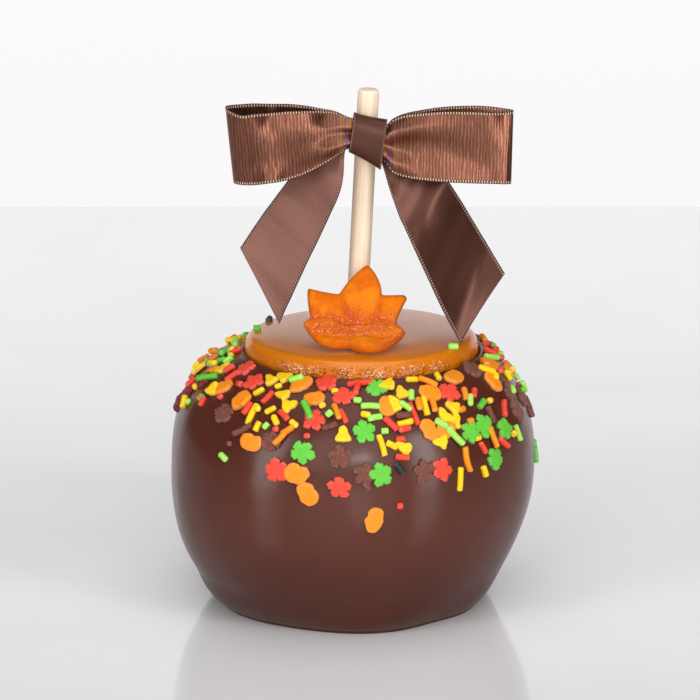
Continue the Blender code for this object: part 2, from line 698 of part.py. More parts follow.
def tail_spine(side, share):
    """A place on the middle line of a tail, and the way it runs there."""
    start, end = TAIL_STARTS[side], TAIL_ENDS[side]
    reach = (end - start).length
    out, into = TAIL_START_WAYS[side] * reach, TAIL_END_WAYS[side] * reach
    s, s2, s3 = share, share**2, share**3
    place = start + (end - start) * (3 * s2 - 2 * s3) + out * (s3 - 2 * s2 + s) + into * (s3 - s2)
    way = (end - start) * (6 * s - 6 * s2) + out * (3 * s2 - 4 * s + 1) + into * (3 * s2 - 2 * s)
    return place, way.normalized()


def tail_point(side, share, across):
    """A place on a tail, from the band to its slanting cut, which leaves the inner edge the longer one."""
    reach = (TAIL_ENDS[side] - TAIL_STARTS[side]).length
    inner = -2 * across / RIBBON_WIDTH
    place, way = tail_spine(side, share * (1 + inner * TAIL_SLANTS[side] / reach))
    outward = way.cross(Vector((0, side, 0))).normalized()
    early, late = TAIL_TWISTS[side]
    twist = math.radians(early + (late - early) * share) * smooth(2.5 * share)
    outward = Quaternion(way, twist) @ outward
    gather = gathered(share * reach, TAIL_PINCH_LENGTHS[side])
    rise = across * (1 - (1 - TAIL_PINCHES[side]) * gather)
    return place + outward * rise - Vector((0, TAIL_PLEAT * ridges(across, gather), 0))


def strip(name, place, steps, collection):
    """A sheet of ribbon from its place function, thickened."""
    columns = RIBBON_COLUMNS
    points, faces = [], []
    for share in steps:
        points += [place(share, RIBBON_WIDTH * (j / columns - 0.5)) for j in range(columns + 1)]
    for i in range(len(steps) - 1):
        for j in range(columns):
            first = i * (columns + 1) + j
            faces.append((first, first + 1, first + columns + 2, first + columns + 1))
    mesh = bpy.data.meshes.new(name)
    mesh.from_pydata(points, [], faces)
    made = new_object(name, mesh, collection)
    solidify = made.modifiers.new("Thickness", "SOLIDIFY")
    solidify.thickness = RIBBON_THICKNESS
    solidify.offset = 0.0
    solidify.use_even_offset = True
    return apply_modifiers(made)


def make_ribbon(collection):
    """One ribbon: two loops and two tails that meet in a pressed core inside the band."""
    core = mesh_of(lambda bm: bmesh.ops.create_cube(bm, size=2.0), "bow_ribbon")
    core.transform(Matrix.Diagonal((*CORE, 1.0)))
    made = new_object("bow_ribbon", core, collection)
    eased = [0.5 - 0.5 * math.cos(math.pi * i / LOOP_STEPS) for i in range(LOOP_STEPS + 1)]
    loops = [LOOP_END + (1 - 2 * LOOP_END) * share for share in eased]
    tails = [i / TAIL_STEPS for i in range(TAIL_STEPS + 1)]
    sheets = bpy.data.collections.new("ribbon_sheets")
    bpy.context.scene.collection.children.link(sheets)
    for side in (-1, 1):
        strip("loop", lambda share, across, side=side: loop_point(side, share, across), loops, sheets)
        strip("tail", lambda share, across, side=side: tail_point(side, share, across), tails, sheets)
    union_and_remove(made, sheets)
    made.location = bow_middle()
    finish(made, material("satin_ribbon", (0.13, 0.055, 0.035), 0.38))
    return made


def fill_band(bm):
    """A closed strip round the bow's middle, taller at its right side than at its left."""

    def ring(x, inset):
        points = []
        for i in range(BAND_SIDES):
            turn = 2 * math.pi * i / BAND_SIDES
            depth = math.copysign(abs(math.cos(turn)) ** BAND_SQUARE, math.cos(turn))
            rise = math.copysign(abs(math.sin(turn)) ** BAND_SQUARE, math.sin(turn))
            height = BAND_HALF_HEIGHT * (1 + BAND_FLARE * x / BAND_WIDTH) - inset
            place = (x, (BAND_HALF_DEPTH - inset) * depth, height * rise - BAND_SHEAR * x)
            points.append(bm.verts.new(place))
        return points

    places = [BAND_WIDTH * share for share in (-0.5, 0.0, 0.5)]
    outer = [ring(x, 0.0) for x in places]
    inner = [ring(x, BAND_THICKNESS) for x in places]
    around = outer + inner[::-1]
    for first, second in zip(around, around[1:] + around[:1]):
        for i in range(BAND_SIDES):
            j = (i + 1) % BAND_SIDES
            bm.faces.new((first[i], first[j], second[j], second[i]))


def make_band(collection):
    made = new_object("bow_band", mesh_of(fill_band, "bow_band"), collection)
    made.location = bow_middle()
    made.rotation_euler = (0, -BAND_TILT, 0)
    finish(made, bpy.data.materials["satin_ribbon"], 50.0)
    return made


def make_tie(collection):
    """The thin clear tie that holds the bow to the stick: a turn and a quarter round it."""
    radius = STICK_RADIUS + TOUCHING_GAP + TIE_RADIUS
    curve = bpy.data.curves.new("bow_tie", "CURVE")
    curve.dimensions = "3D"
    curve.bevel_depth = TIE_RADIUS
    curve.bevel_resolution = 1
    curve.use_fill_caps = True
    spline = curve.splines.new("POLY")
    spline.points.add(TIE_STEPS)
    for i, point in enumerate(spline.points):
        share = i / TIE_STEPS
        turn = TIE_TURN * (share - 0.33)
        centre = stick_axis(BOW_HEIGHT + TIE_RISE * (0.4 - share))
        point.co = (*(centre + Vector((radius * math.cos(turn), radius * math.sin(turn), 0))), 1.0)
    made = new_object("bow_tie", curve, collection)
    made.data.materials.append(material("clear_tie", (0.8, 0.8, 0.78), 0.2))
    return made


def main():
    for old in list(bpy.data.objects):
        bpy.data.objects.remove(old)
    scene = bpy.context.scene.collection
    apple = bpy.data.collections.new("chocolate_caramel_apple")
    helpers = bpy.data.collections.new("cutters")
    scene.children.link(apple)
    scene.children.link(helpers)
    bore = stick_cutter(helpers)
    bpy.context.view_layer.update()
    make_apple(apple, helpers, bore)
    make_cap(apple, bore)
    make_stick(apple)
    make_leaf(apple)
    make_ribbon(apple)
    make_band(apple)
    make_tie(apple)


main()
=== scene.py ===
"""The looks of a chocolate caramel apple on a stick, with autumn sprinkles, a sugar leaf and a satin bow.

Lengths are in metres and +Z is up. The front faces -Y, as in the CAD model, and the shapes that take the
place of CAD solids are worked out from the same sizes as theirs. Only the sugar leaf has a finer outline.
"""

import bisect
import json
import math
import random
from functools import partial

import bmesh
import bpy
from mathutils import Matrix, Quaternion, Vector, noise

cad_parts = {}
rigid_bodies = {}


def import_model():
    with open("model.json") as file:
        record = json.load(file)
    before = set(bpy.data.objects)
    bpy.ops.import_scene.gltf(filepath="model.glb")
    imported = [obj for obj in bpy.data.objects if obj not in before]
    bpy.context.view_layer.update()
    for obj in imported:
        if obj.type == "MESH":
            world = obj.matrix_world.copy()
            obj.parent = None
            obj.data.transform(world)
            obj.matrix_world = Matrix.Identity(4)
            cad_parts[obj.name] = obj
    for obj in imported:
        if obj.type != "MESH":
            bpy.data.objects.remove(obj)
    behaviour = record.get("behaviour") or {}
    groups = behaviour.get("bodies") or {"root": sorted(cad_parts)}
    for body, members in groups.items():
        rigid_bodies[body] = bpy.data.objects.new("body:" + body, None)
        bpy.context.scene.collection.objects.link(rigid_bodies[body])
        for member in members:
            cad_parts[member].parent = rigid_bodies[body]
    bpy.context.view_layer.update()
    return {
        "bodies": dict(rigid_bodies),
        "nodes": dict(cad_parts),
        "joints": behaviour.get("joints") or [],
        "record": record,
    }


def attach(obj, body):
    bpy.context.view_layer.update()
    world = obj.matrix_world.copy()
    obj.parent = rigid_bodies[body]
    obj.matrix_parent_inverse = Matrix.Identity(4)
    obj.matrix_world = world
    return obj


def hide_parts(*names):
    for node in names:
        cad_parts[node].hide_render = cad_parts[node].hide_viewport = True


MM = 0.001

# Camera
CAMERA_DISTANCE = 1500.0 * MM
CAMERA_ELEVATION = math.radians(14.8)
CAMERA_TARGET = Vector((-0.6, 0.0, 71.7)) * MM
PICTURE_WIDTH = 700
PIXELS_PER_MM = 3.55  # at the target
SENSOR_WIDTH = 36.0
CAMERA_CLIP = (0.1, 20.0)

# The chocolate, as in the CAD model
WIDEST_RADIUS = 51.3 * MM
WIDEST_HEIGHT = 38.0 * MM
SHOULDER_REACH = 38.9 * MM
SHOULDER_POWER = 2.8
BELLY_REACH = 52.2 * MM
BELLY_POWER = 2.05
RIM_HEIGHT = 71.6 * MM
LIP_THICKNESS = 1.5 * MM
LIP_RISE = 0.5 * MM
# A wave is how many go round, their size and a crest's angle. A lobe is its angle, its spread and its size.
BODY_WAVES = ((2, 0.45 * MM, 40.0), (3, 0.40 * MM, 100.0), (5, 0.30 * MM, 12.0))
SAG = 1.2 * MM
SAG_HEIGHT = 14.0 * MM
SAG_SPREAD = 16.0 * MM
FOOT_RADIUS = 37.6 * MM
FOOT_WAVES = ((1, 0.9 * MM, 0.0), (2, 0.4 * MM, 90.0), (3, 0.9 * MM, -72.0), (7, 0.35 * MM, 20.0))
FOOT_LOBES = ((205.0, 25.0, 2.4 * MM), (-50.0, 16.0, -2.2 * MM))
FOOT_HEIGHT = 2.2 * MM
FOOT_BLEND = 9.0 * MM
RIM_SHIFT = 2.8 * MM
RIM_SHIFT_START = 60.0 * MM
BODY_STEPS = 300
SKIN_STEPS = 130
LUMP_SIZE = 14.0 * MM
LUMP_HEIGHT = 0.10 * MM
LUMP_START = 6.0 * MM  # the height over which the lumps set in
LIP_STEPS = 8
TOE = ((0.4 * MM, 0.9 * MM), (0.25 * MM, 0.3 * MM), (0.0, 0.0))  # out past the foot's radius, and up
TOE_TOP = 1.2 * MM

# The caramel cap, as in the CAD model
CAP_RADIUS = 32.6 * MM
CAP_TOP = 77.4 * MM
CAP_SEAT = 69.6 * MM
CAP_EDGE_DEPTH = 5.8 * MM
CAP_EDGE_REACH = 3.4 * MM
CAP_EDGE_POWER = 2.8
CAP_TAPER = 0.5 * MM
CAP_WAVES = ((2, 0.35 * MM, 20.0), (3, 0.45 * MM, 160.0), (6, 0.20 * MM, 0.0))
CAP_STEPS = 420
CAP_EDGE_STEPS = 36
CAP_TOP_STEPS = 34
CAP_LOW_START = 2.0 * MM  # how far under the top the edge's ripple sets in
CAP_LOW_REACH = 2.5 * MM
CAP_RIPPLE = 0.22 * MM
CAP_RIPPLES = 9
CAP_RIPPLE_RISE = 3.0 * MM
CAP_MENISCUS = 0.8 * MM
CAP_MENISCUS_REACH = 1.2 * MM
CAP_DOME = 1.0 * MM
CAP_DOME_START = 12.0 * MM

# The stick
STICK_RADIUS = 3.0 * MM
STICK_FOOT = 14.0 * MM
STICK_TOP = 146.8 * MM
STICK_AT_CAP = 1.1 * MM
STICK_LEAN = math.radians(2.9)
STICK_CHAMFER = 0.9 * MM
STICK_WEAR = (0.0, 0.4, 0.8, 1.2)  # turns round the worn edge, in radians
STICK_ROWS = 60
STICK_SIDES = 64
STICK_UNEVENNESS = 0.004

# The sugar leaf
LEAF_CORNERS = (  # mm: a corner's place, and how far the side after it bulges out
    (3.9, 18.4, 1.1), (7.9, 9.6, 0.0), (14.3, 9.7, 0.1), (15.1, 8.5, -0.4), (12.0, 0.9, 0.0),
    (14.8, -2.2, 0.3), (10.4, -8.8, 3.4), (-1.2, -8.6, 2.0), (-10.4, -5.6, 0.3), (-14.0, 0.9, 0.2),
    (-11.7, 2.9, 0.5), (-12.6, 11.7, -0.2), (-3.8, 9.9, 0.7),
)
LEAF_SIDE_STEP = 0.26
LEAF_SOFTENINGS = 7
LEAF_RINGS = 64
LEAF_BACK_ROWS = ((0.3, 0.0), (0.6, 0.0), (0.85, 0.0), (0.97, 0.04))  # share of the outline, and of the puff
LEAF_THICKNESS = 3.4 * MM
LEAF_EDGE = 0.36  # the edge's share of the thickness
LEAF_PUFF = 3.2
LEAF_RIM_START = 0.90
LEAF_GROOVE = 1.0 * MM
LEAF_CREASE = 0.5 * MM
LEAF_GROOVES = (  # mm: the points a groove runs through, its depth and its half width
    (((7.9, 9.6), (6.6, 3.4), (3.2, 1.0), (0.6, 0.4)), 0.75, 0.8),
    (((-3.8, 9.9), (-1.6, 3.8), (0.8, 0.6)), 0.75, 0.8),
    (((12.0, 0.9), (7.4, 2.2), (3.6, 0.2), (0.6, 0.4)), 0.9, 1.0),
    (((-11.7, 2.9), (-6.2, 2.9), (-1.8, -0.4), (0.6, 0.4)), 0.9, 1.0),
    (((-1.2, -8.6), (-0.9, -6.6), (0.0, -3.6)), 0.6, 1.3),
)
LEAF_CREASES = (  # soft folds across the two lower lobes
    (((-11.2, -3.0), (-8.0, -5.4), (-4.6, -6.6), (-1.2, -6.9)), 0.55, 0.8),
    (((-0.4, -6.9), (3.6, -6.0), (7.6, -7.0), (12.0, -4.4)), 0.55, 0.8),
)
LEAF_FOOT_ANGLE = math.radians(8.0)
LEAF_TOP_ANGLE = math.radians(62.0)
LEAF_BEND_START = -12.0 * MM
LEAF_BEND_LENGTH = 20.0 * MM
LEAF_MIDDLE = Vector((0.3 * MM, -15.5 * MM))
TOUCHING_GAP = 0.3 * MM
SUGAR_SIZE = 0.55 * MM
SUGAR_FINE = 0.26 * MM
SUGAR_HEIGHT = 0.13 * MM
DUST_PATCH = 2.6 * MM

# The bow, whose left side is -1 and whose right side is 1
RIBBON_WIDTH = 21.2 * MM
RIBBON_THICKNESS = 0.28 * MM
BOW_HEIGHT = 134.6 * MM
BOW_RIGHT = 0.3 * MM
BOW_FORWARD = 8.4 * MM
LOOP_LENGTHS = {-1: 38.2 * MM, 1: 40.0 * MM}
LOOP_SLANTS = {-1: 1.0 * MM, 1: 0.3 * MM}
LOOP_DEPTHS = {-1: 4.6 * MM, 1: 3.2 * MM}
LOOP_EDGES = {  # mm: distance out, lower edge, upper edge, and how much higher the rear sheet's upper edge is
    -1: (
        (0.0, -4.0, 5.0, 0.0), (5.0, -2.7, 5.9, 0.0), (9.0, -5.2, 7.6, 0.0), (13.0, -7.7, 8.2, 0.1),
        (18.0, -9.9, 8.3, 0.5), (24.0, -11.5, 8.4, 0.6), (31.0, -12.3, 7.9, 0.9), (35.0, -12.4, 7.3, 1.3),
        (39.5, -12.4, 8.8, 0.0),
    ),
    1: (
        (0.0, -5.0, 4.2, 0.0), (5.0, -6.7, 3.5, 0.0), (7.0, -9.5, 5.4, 0.0), (10.0, -10.6, 6.7, 0.0),
        (15.0, -11.4, 7.6, 0.0), (21.0, -11.9, 8.3, 0.0), (29.0, -12.1, 8.4, 0.1), (35.0, -12.4, 8.1, 0.2),
        (40.5, -13.0, 8.0, 0.0),
    ),
}
LOOP_END = 0.006
PINCH_START = 4.2 * MM
PINCH_LENGTHS = {-1: 15.0 * MM, 1: 16.0 * MM}
PLEAT = 1.7 * MM
PLEAT_START = 3.5 * MM
TAIL_PINCHES = {-1: 0.09, 1: 0.32}
TAIL_PINCH_LENGTHS = {-1: 16.0 * MM, 1: 19.5 * MM}
TAIL_PLEAT = 0.5 * MM
TAIL_STARTS = {-1: Vector((-4.4, 1.1, 1.9)) * MM, 1: Vector((2.4, 1.4, -1.1)) * MM}
TAIL_START_WAYS = {-1: Vector((-0.41, 0.22, -0.73)), 1: Vector((0.51, 0.22, -0.31))}
TAIL_ENDS = {-1: Vector((-30.1, -0.6, -41.9)) * MM, 1: Vector((31.9, -3.8, -47.4)) * MM}
TAIL_END_WAYS = {-1: Vector((-0.51, 0.0, -0.99)), 1: Vector((0.51, -0.11, -0.85))}
TAIL_TWISTS = {-1: (74.0, 29.0), 1: (-64.0, -20.5)}
TAIL_SLANTS = {-1: 5.4 * MM, 1: 4.8 * MM}
LOOP_STEPS = 260
TAIL_STEPS = 160
RIBBON_COLUMNS = 52
LIT_TAIL_STRIP = 1  # the left tail, whose colour is painted lighter as if lit, and which is rougher and less metallic
CREASE = 0.8 * MM
CREASE_START = Vector((7.0, 1.5)) * MM  # where the creases meet: past the knot's middle, and under it
CREASE_REACH = 14.0 * MM
CREASE_END = 8.0 * MM
LOOP_PHASES = {-1: 0.9, 1: -0.6}
TAIL_CREASES = {-1: 0.45 * MM, 1: 0.35 * MM}
TAIL_CREASE_LENGTH = 14.0 * MM
TAIL_PHASES = {-1: 0.4, 1: 1.4}
TURN_RISE = math.tan(CAMERA_ELEVATION)  # what leans forward rises with it, so the ribbon's outline stays
LOOP_TURNS = {  # share of the loop's length, and how steeply its upper edge leans forward there
    -1: (
        (0.0, 0.0), (0.14, -0.05), (0.30, -0.19), (0.44, 0.02), (0.57, 0.03), (0.70, -0.18), (0.85, 0.24),
        (1.0, 0.28),
    ),
    1: (
        (0.0, 0.0), (0.15, -0.05), (0.30, -0.03), (0.50, -0.12), (0.68, -0.08), (0.84, -0.10), (0.94, -0.24),
        (1.0, -0.2),
    ),
}
TAIL_TURNS = {  # the same for the tails' outer edges
    -1: ((0.0, 0.0), (0.12, 0.02), (0.30, 0.26), (0.55, 0.27), (0.80, 0.06), (1.0, 0.0)),
    1: (
        (0.0, 0.0), (0.12, 0.06), (0.32, 0.34), (0.48, 0.34), (0.60, -0.06), (0.78, -0.22), (0.92, -0.07),
        (1.0, 0.0),
    ),
}
# painted sheen: the gold and lilac on the ribs near the knot fades out from here
SHEEN_START = 5.0 * MM
SHEEN_FADE = 6.0 * MM
BAND_WIDTH = 9.4 * MM
BAND_HALF_HEIGHT = 6.5 * MM
BAND_HALF_DEPTH = 3.7 * MM
BAND_THICKNESS = 0.6 * MM
BAND_CLOTH = 0.36 * MM  # the visible cloth, within that thickness
BAND_HOLLOW = 0.22 * MM
BAND_COLUMNS = 24
BAND_STEPS = 120
BAND_SQUARE = 0.75
BAND_TILT = math.radians(-7.5)
BAND_SHEAR = 0.25
BAND_FLARE = 0.24
STITCH_PITCH = 0.76 * MM
STITCH_WIDTH = 0.85 * MM
RIB_PITCH = 0.93 * MM

# Sprinkles
SPRINKLE_SEED = 11
SCATTER_SEED = 5
LEAF_SPRINKLE = 3.4 * MM
PUMPKIN_SPRINKLE = 3.3 * MM
CORN_SPRINKLE = 2.4 * MM
PLATE_THICKNESS = 1.4 * MM
ROD_RADIUS = 0.9 * MM
ROD_LENGTHS = (3.8, 7.0)
ROD_SIDES = 14
ROD_BEND = 9.0  # per metre of length
ROD_TIPS = (0.25, 0.5, 0.9)  # blunt to round
ROD_TIP_TURNS = (0.45, 0.75, 1.1, math.pi / 2)
SUNK = 0.45 * MM
LIFT = 0.7 * MM
TOUCH_SHARE = 0.6
RIM_MARGIN = 1.5
BAND_DEPTH = 19.0
STRAY_DEPTH = 31.0
STRAY_SHARE = 0.14
TILT_SPREAD = 7.0  # degrees
UNEVENNESS = 0.20
SPRINKLE_COLOURS = {  # as displayed, 0 to 255
    "red": (240, 72, 48),
    "orange": (250, 146, 14),
    "yellow": (255, 210, 6),
    "lime": (168, 234, 96),
    "green": (100, 200, 56),
    "brown": (146, 86, 70),
    "dark red": (150, 28, 26),
    "black": (44, 40, 42),
}
COARSE_COLOURS = ("brown", "dark red")
COARSE_GRAIN = 0.7 * MM
FINE_GRAIN = 0.12 * MM
BACK_COLOURS = {
    "leaf": ("red", "green", "brown", "red", "green", "dark red"),
    "pumpkin": ("orange",),
    "corn": ("yellow",),
    "rod": ("yellow", "red", "orange", "lime", "green", "yellow", "red", "brown"),
}

# The front's sprinkles, read from the front by kind and colour. Each is its azimuth in degrees, its distance
# down from the rim in mm and its turn in degrees, and a rod's or a dot's length in mm is added.
FRONT_SPRINKLES = {
    ("leaf", "red"): (
        (-114, 28, 10), (-94, 32, 70), (-152, 2, 30), (-139, 5, 0), (-106, 1, 20), (-97, 5.5, 60),
        (172, 13, 30), (-61, 28.5, 45), (-53, 7, 20), (-104, 13.5, 60), (160, 10, 50),
    ),
    ("leaf", "dark red"): ((-168, 11, 10), (-172, 16.5, 40), (-178, 21, 0)),
    ("leaf", "green"): (
        (-106, 22.5, 40), (-86, 16.5, 10), (-84, 2.5, 30), (-81, 28.5, 15), (-48, 20, 35), (-41, 19.5, 10),
        (-31, 22, 50), (-39, 29, 25), (3, 36.5, 10), (170, 3, 0),
    ),
    ("leaf", "brown"): (
        (-94, 23.5, 0), (-139, 15.5, 20), (-117, 20.5, 50), (-86, 28, 60), (-67, 28.5, 5), (-32, 1.5, 0),
        (-17, 14, 0), (-18, 19.5, 30), (-5, 18, 20), (1, 23, 45), (22, 2, 30),
    ),
    ("pumpkin", "orange"): (
        (-107.5, 28.5, -15), (-103.5, 34, -40), (-124, 21.5, -5), (-136.5, 11, 80), (-151, 9.5, 45),
        (-117, 2.5, 55), (-108, 7, 10), (165, 8, 0), (-79, 9, 80), (-57.5, 18, 10),
        (-63.5, 17, -70), (-83, 41, 75), (-26, 8, -70), (-46, 2, 15), (-17, 3, -45), (-3, 9, 0),
        (158, 2, 30), (-61.5, 6, -15),
    ),
    ("corn", "yellow"): (
        (-93, 17.5, 0), (-127, 1, 80), (-132, 3, 60), (-121, 7, 90), (-116, 10, -60), (-166, 6, 20),
        (175, 12, 0), (-73.5, 5, 10), (-79, 2, 90), (-76, 9, 30), (-57, 14, 20), (-53, 16, -40),
        (-73, 21.5, 60), (-60, 21, 80), (-52.5, 12, 50), (-153.5, 11.5, 20),
    ),
    ("rod", "yellow"): (
        (-127, 14, 85, 6.5), (-64.5, 10, 90, 5.6), (-72, 14.5, 8, 4.6), (-80.5, 20.5, -78, 6.2),
        (-54.5, 32, 88, 6.8), (-26, 4, -50, 5.2), (-132, 7.5, 50, 3.6), (-121.5, 12, 40, 3.6),
        (-123, 17, 80, 3), (-117.5, 14.5, -50, 3.5), (-110.5, 15, -30, 2.8), (-67, 0.3, 0, 4),
        (-54, 0.6, 80, 2.8), (-77, 20.5, -30, 3.5), (-44.5, 31.5, -75, 3.5), (-86.5, 11.5, -15, 3),
    ),
    ("rod", "green"): (
        (-165, 10, 45, 7), (-108, 11, -55, 6), (175, 5, 20, 6.6), (-39, 13, 25, 3.5),
    ),
    ("rod", "red"): (
        (-126.5, 8.5, 75, 4.5), (-115.5, 13, -35, 4.2), (-153, 6, 85, 4.5), (-130, 13, 80, 4),
        (-94.5, 12, -60, 4.5), (-91, 0.8, 3, 7), (-92, 3.5, 80, 4.2), (-77, 14.5, -50, 5),
        (-69, 12, -78, 6.8), (-72.5, 16.5, 10, 4), (-74, 24, -10, 4), (-26.5, 17, 55, 5.2),
        (-33, 25.5, -45, 5), (12, 1.5, -40, 6), (-178, 0.8, 70, 4.6), (152, 1, 60, 4.4),
        (-41, 9, 50, 3), (-154, 15, -80, 3), (-44, 25, -65, 4),
    ),
    ("rod", "orange"): (
        (-97, 11, -65, 5.5), (-61, 2.5, -50, 5.8), (-51, 27, -80, 7.4), (-39, 23, -80, 6.2),
        (-132, 11.5, 75, 3.5), (-112, 17, 40, 4), (-114, 19.5, 55, 4.5), (-67, 9.5, 85, 4),
        (-61.5, 10.5, 80, 4.2), (-46, 8.5, 70, 4),
    ),
    ("rod", "lime"): (
        (-85.5, 9, -3, 5.4), (-83, 12.5, 10, 4.2), (-54.5, 20.5, -55, 6), (-23, 25, -80, 5),
        (-8, 2, -40, 6.2), (170, 1, 0, 4.6), (178, 2.5, 30, 4.2), (-45, 11, 55, 4),
        (-120, 1.2, 25, 4.2), (-133.5, 27, -25, 3.2), (-69.5, 6, 75, 3.5), (-72.5, 10, -45, 4),
        (-59, 16, -40, 4),
    ),
    ("rod", "brown"): (
        (-128.5, 18.5, 40, 6.2), (-98, 15, 20, 4.5), (-36, 17, -80, 5), (-73, 12.5, 0, 4),
        (-85.5, 31.5, -50, 3),
    ),
    ("rod", "black"): ((-75, 27, -55, 3.8),),
    ("dot", "yellow"): (
        (-160, 4, 0, 2.4), (-126, 4.5, 40, 2.3), (-101, 4, 0, 2.1), (-103.5, 9, 30, 2.1),
        (-126, 12.5, 0, 2), (-168, 13.5, 0, 2.2), (-45.5, 22, 0, 2.2), (-34, 13, 0, 2.4),
        (-26, 24.5, 0, 2.3),
    ),
    ("dot", "orange"): ((-49.5, 13, 0, 2.6), (-46.5, 17, 0, 2), (165, 1.5, 0, 2.4)),
    ("dot", "lime"): (
        (165, 2.5, 0, 2.3), (-120, 16.5, 60, 2.2), (-99, 12, 40, 2.2), (-91, 7, 0, 2.5),
        (-79, 16.5, 0, 2.1), (-56.5, 18, 0, 2.2),
    ),
    ("dot", "green"): ((156, 1, 0, 2.2),),
    ("dot", "red"): (
        (-144, 7, 0, 2.3), (-147, 12, 0, 2.2), (-116, 17, 0, 1.9), (-105, 18, 0, 1.9),
        (-74, 19, 0, 2.6), (-75, 37.5, 0, 1.7),
    ),
    ("dot", "brown"): ((-132, 23, 0, 1.5),),
}
BACK_SPRINKLES = {"leaf": 15, "pumpkin": 9, "corn": 9, "rod": 26}
BACK_AZIMUTHS = (28.0, 163.0)
SMALL_SPRINKLES = (  # short rods and dots between the others: between which azimuths, and how many
    (BACK_AZIMUTHS, 42),
    ((-24.0, 28.0), 22),
    ((155.0, 205.0), 22),
)
SMALL_LENGTHS = {"dot": (2.0, 2.5), "rod": (3.0, 4.6)}
SMALL_MARGIN = 0.5
SMALL_COLOURS = ("yellow", "orange", "red", "lime", "green", "yellow")
CAP_SPRINKLES = (  # on the caramel: kind, colour, place to the right and behind in mm, turn and length in mm
    ("rod", "lime", 28.2, -16.6, -8, 3.0),
    ("rod", "black", -23.6, 13.6, 80, 2.9),
    ("dot", "green", -26.8, 3.4, 0, 2.2),
)

# Materials
PALETTE = {  # as displayed, 0 to 255
    "chocolate": (80, 39, 28),
    "cloudy chocolate": (86, 43, 32),
    # painted shade: the colour the chocolate darkens to towards the bottom
    "shaded chocolate": (66, 29, 18),
    "caramel": (207, 118, 16),
    "pale caramel": (214, 127, 22),
    "caramel edge": (206, 113, 2),
    # painted highlight: the white of the caramel's glints
    "rim_glints": (255, 238, 224),
    "birch": (240, 212, 182),
    "pale birch": (250, 230, 206),
    "birch fleck": (206, 164, 124),
    "jelly": (210, 95, 0),
    "pale jelly": (226, 128, 0),
    "leaf dust": (204, 84, 36),
    # painted shade in the leaf's grooves and creases
    "groove shade": (188, 66, 12),
    "leaf rim": (150, 48, 4),
    # painted highlight: the sugar's glints
    "sugar glint": (255, 206, 168),
    "satin": (74, 42, 32),
    "bright satin": (92, 56, 44),
    # painted light: the left tail's satin, lighter as if lit
    "lit satin": (118, 78, 66),
    "pale lit satin": (142, 98, 85),
    "rib valley": (100, 63, 50),
    "rib": (146, 95, 74),
    # painted sheen colours
    "gold sheen": (190, 130, 60),
    "lilac sheen": (128, 96, 126),
    "border": (70, 40, 36),
    "stitch": (172, 140, 126),
    "bright stitch": (232, 194, 168),
    "band satin": (70, 40, 29),
    "bright band satin": (86, 52, 39),
    "tie": (226, 224, 222),
    "pale tie": (244, 242, 240),
    "floor": (244, 243, 244),
    "floor vein": (236, 235, 237),
}
LOW_SHADE_HEIGHTS = (34.0 * MM, 4.0 * MM)  # the heights where the painted shade towards the bottom sets in and is full
CHOCOLATE_PITS = 0.02 * MM
CHOCOLATE_SWELL = 0.12 * MM
CARAMEL_EDGE = (0.6 * MM, 4.5 * MM)  # the depths under its top where the edge's colour sets in and is full
FOAM_DEPTHS = (1.8 * MM, 3.2 * MM)  # the same for the frozen bubbles and the painted glints
FOAM_FRONT = (-20.0 * MM, -27.0 * MM)  # and along Y, as they are mostly in front
GLINT_DEPTHS = (6.2 * MM, 4.6 * MM)  # the depths where the painted glints have ended and are full
FOAM_HEIGHT = 0.8 * MM
BIRCH_GRAIN = 0.05 * MM
CRYSTAL_HEIGHT = 0.34 * MM
WEAVE_HEIGHT = 0.05 * MM
STITCH_HEIGHT = 0.15 * MM

# The stage
FLOOR_SIDE = 2.2
FLOOR_FRONT = 2.2
FLOOR_BACK = 0.48
FLOOR_GLOW_START = -0.05
FLOOR_GLOW = 0.22
BACKDROP_PLACE = 1.1
BACKDROP_SIDE = 0.95
BACKDROP_HEIGHTS = (-0.6, 0.62)
BACKDROP_FADE = (0.37, 0.47)
BACKDROP_GLOW = 0.91
BACKDROP_TOP_GLOW = 0.06 * BACKDROP_GLOW
BACKDROP_COLOUR = (1.0, 0.985, 0.99)
LIGHT_TARGET = Vector((0.0, 0.0, 0.06))
LIGHTS = (  # name, azimuth, elevation, distance, width and height, power
    ("top", 0.0, 85.0, 1.3, (1.2, 1.2), 7.0),
    ("high", 5.0, 50.0, 1.5, (1.2, 0.8), 3.4),
    ("front", 0.0, 18.0, 1.7, (1.6, 1.0), 12.0),
    ("spark", 6.0, 12.0, 1.7, (0.2, 0.2), 1.8),
    ("right", 46.0, 15.0, 1.4, (0.4, 0.9), 9.0),
    ("left", -48.0, 15.0, 1.4, (0.4, 0.9), 7.2),
)
WORLD_COLOUR = (1.0, 0.99, 1.0)
WORLD_STRENGTH = 0.03


def smooth(share):
    """0 below 0, 1 above 1, and an S curve between."""
    share = min(max(share, 0.0), 1.0)
    return share * share * (3 - 2 * share)


def linear(colour):
    """A displayed colour, 0 to 255, as linear RGB."""
    parts = [c / 255 for c in colour]
    return [c / 12.92 if c <= 0.04045 else ((c + 0.055) / 1.055) ** 2.4 for c in parts]


def new_piece(name, points, faces, *looks):
    """A smooth mesh object with its materials."""
    mesh = bpy.data.meshes.new(name)
    mesh.from_pydata(points, [], faces)
    mesh.validate()
    for look in looks:
        mesh.materials.append(look)
    mesh.shade_smooth()
    piece = bpy.data.objects.new(name, mesh)
    bpy.context.scene.collection.objects.link(piece)
    return piece


def mark_points(piece, name, values):
    """Gives each point of a mesh a number that its material reads."""
    piece.data.attributes.new(name, "FLOAT", "POINT").data.foreach_set("value", values)


def outward_faces(piece):
    bm = bmesh.new()
    bm.from_mesh(piece.data)
    bmesh.ops.recalc_face_normals(bm, faces=bm.faces)
    bm.to_mesh(piece.data)
    bm.free()
    return piece


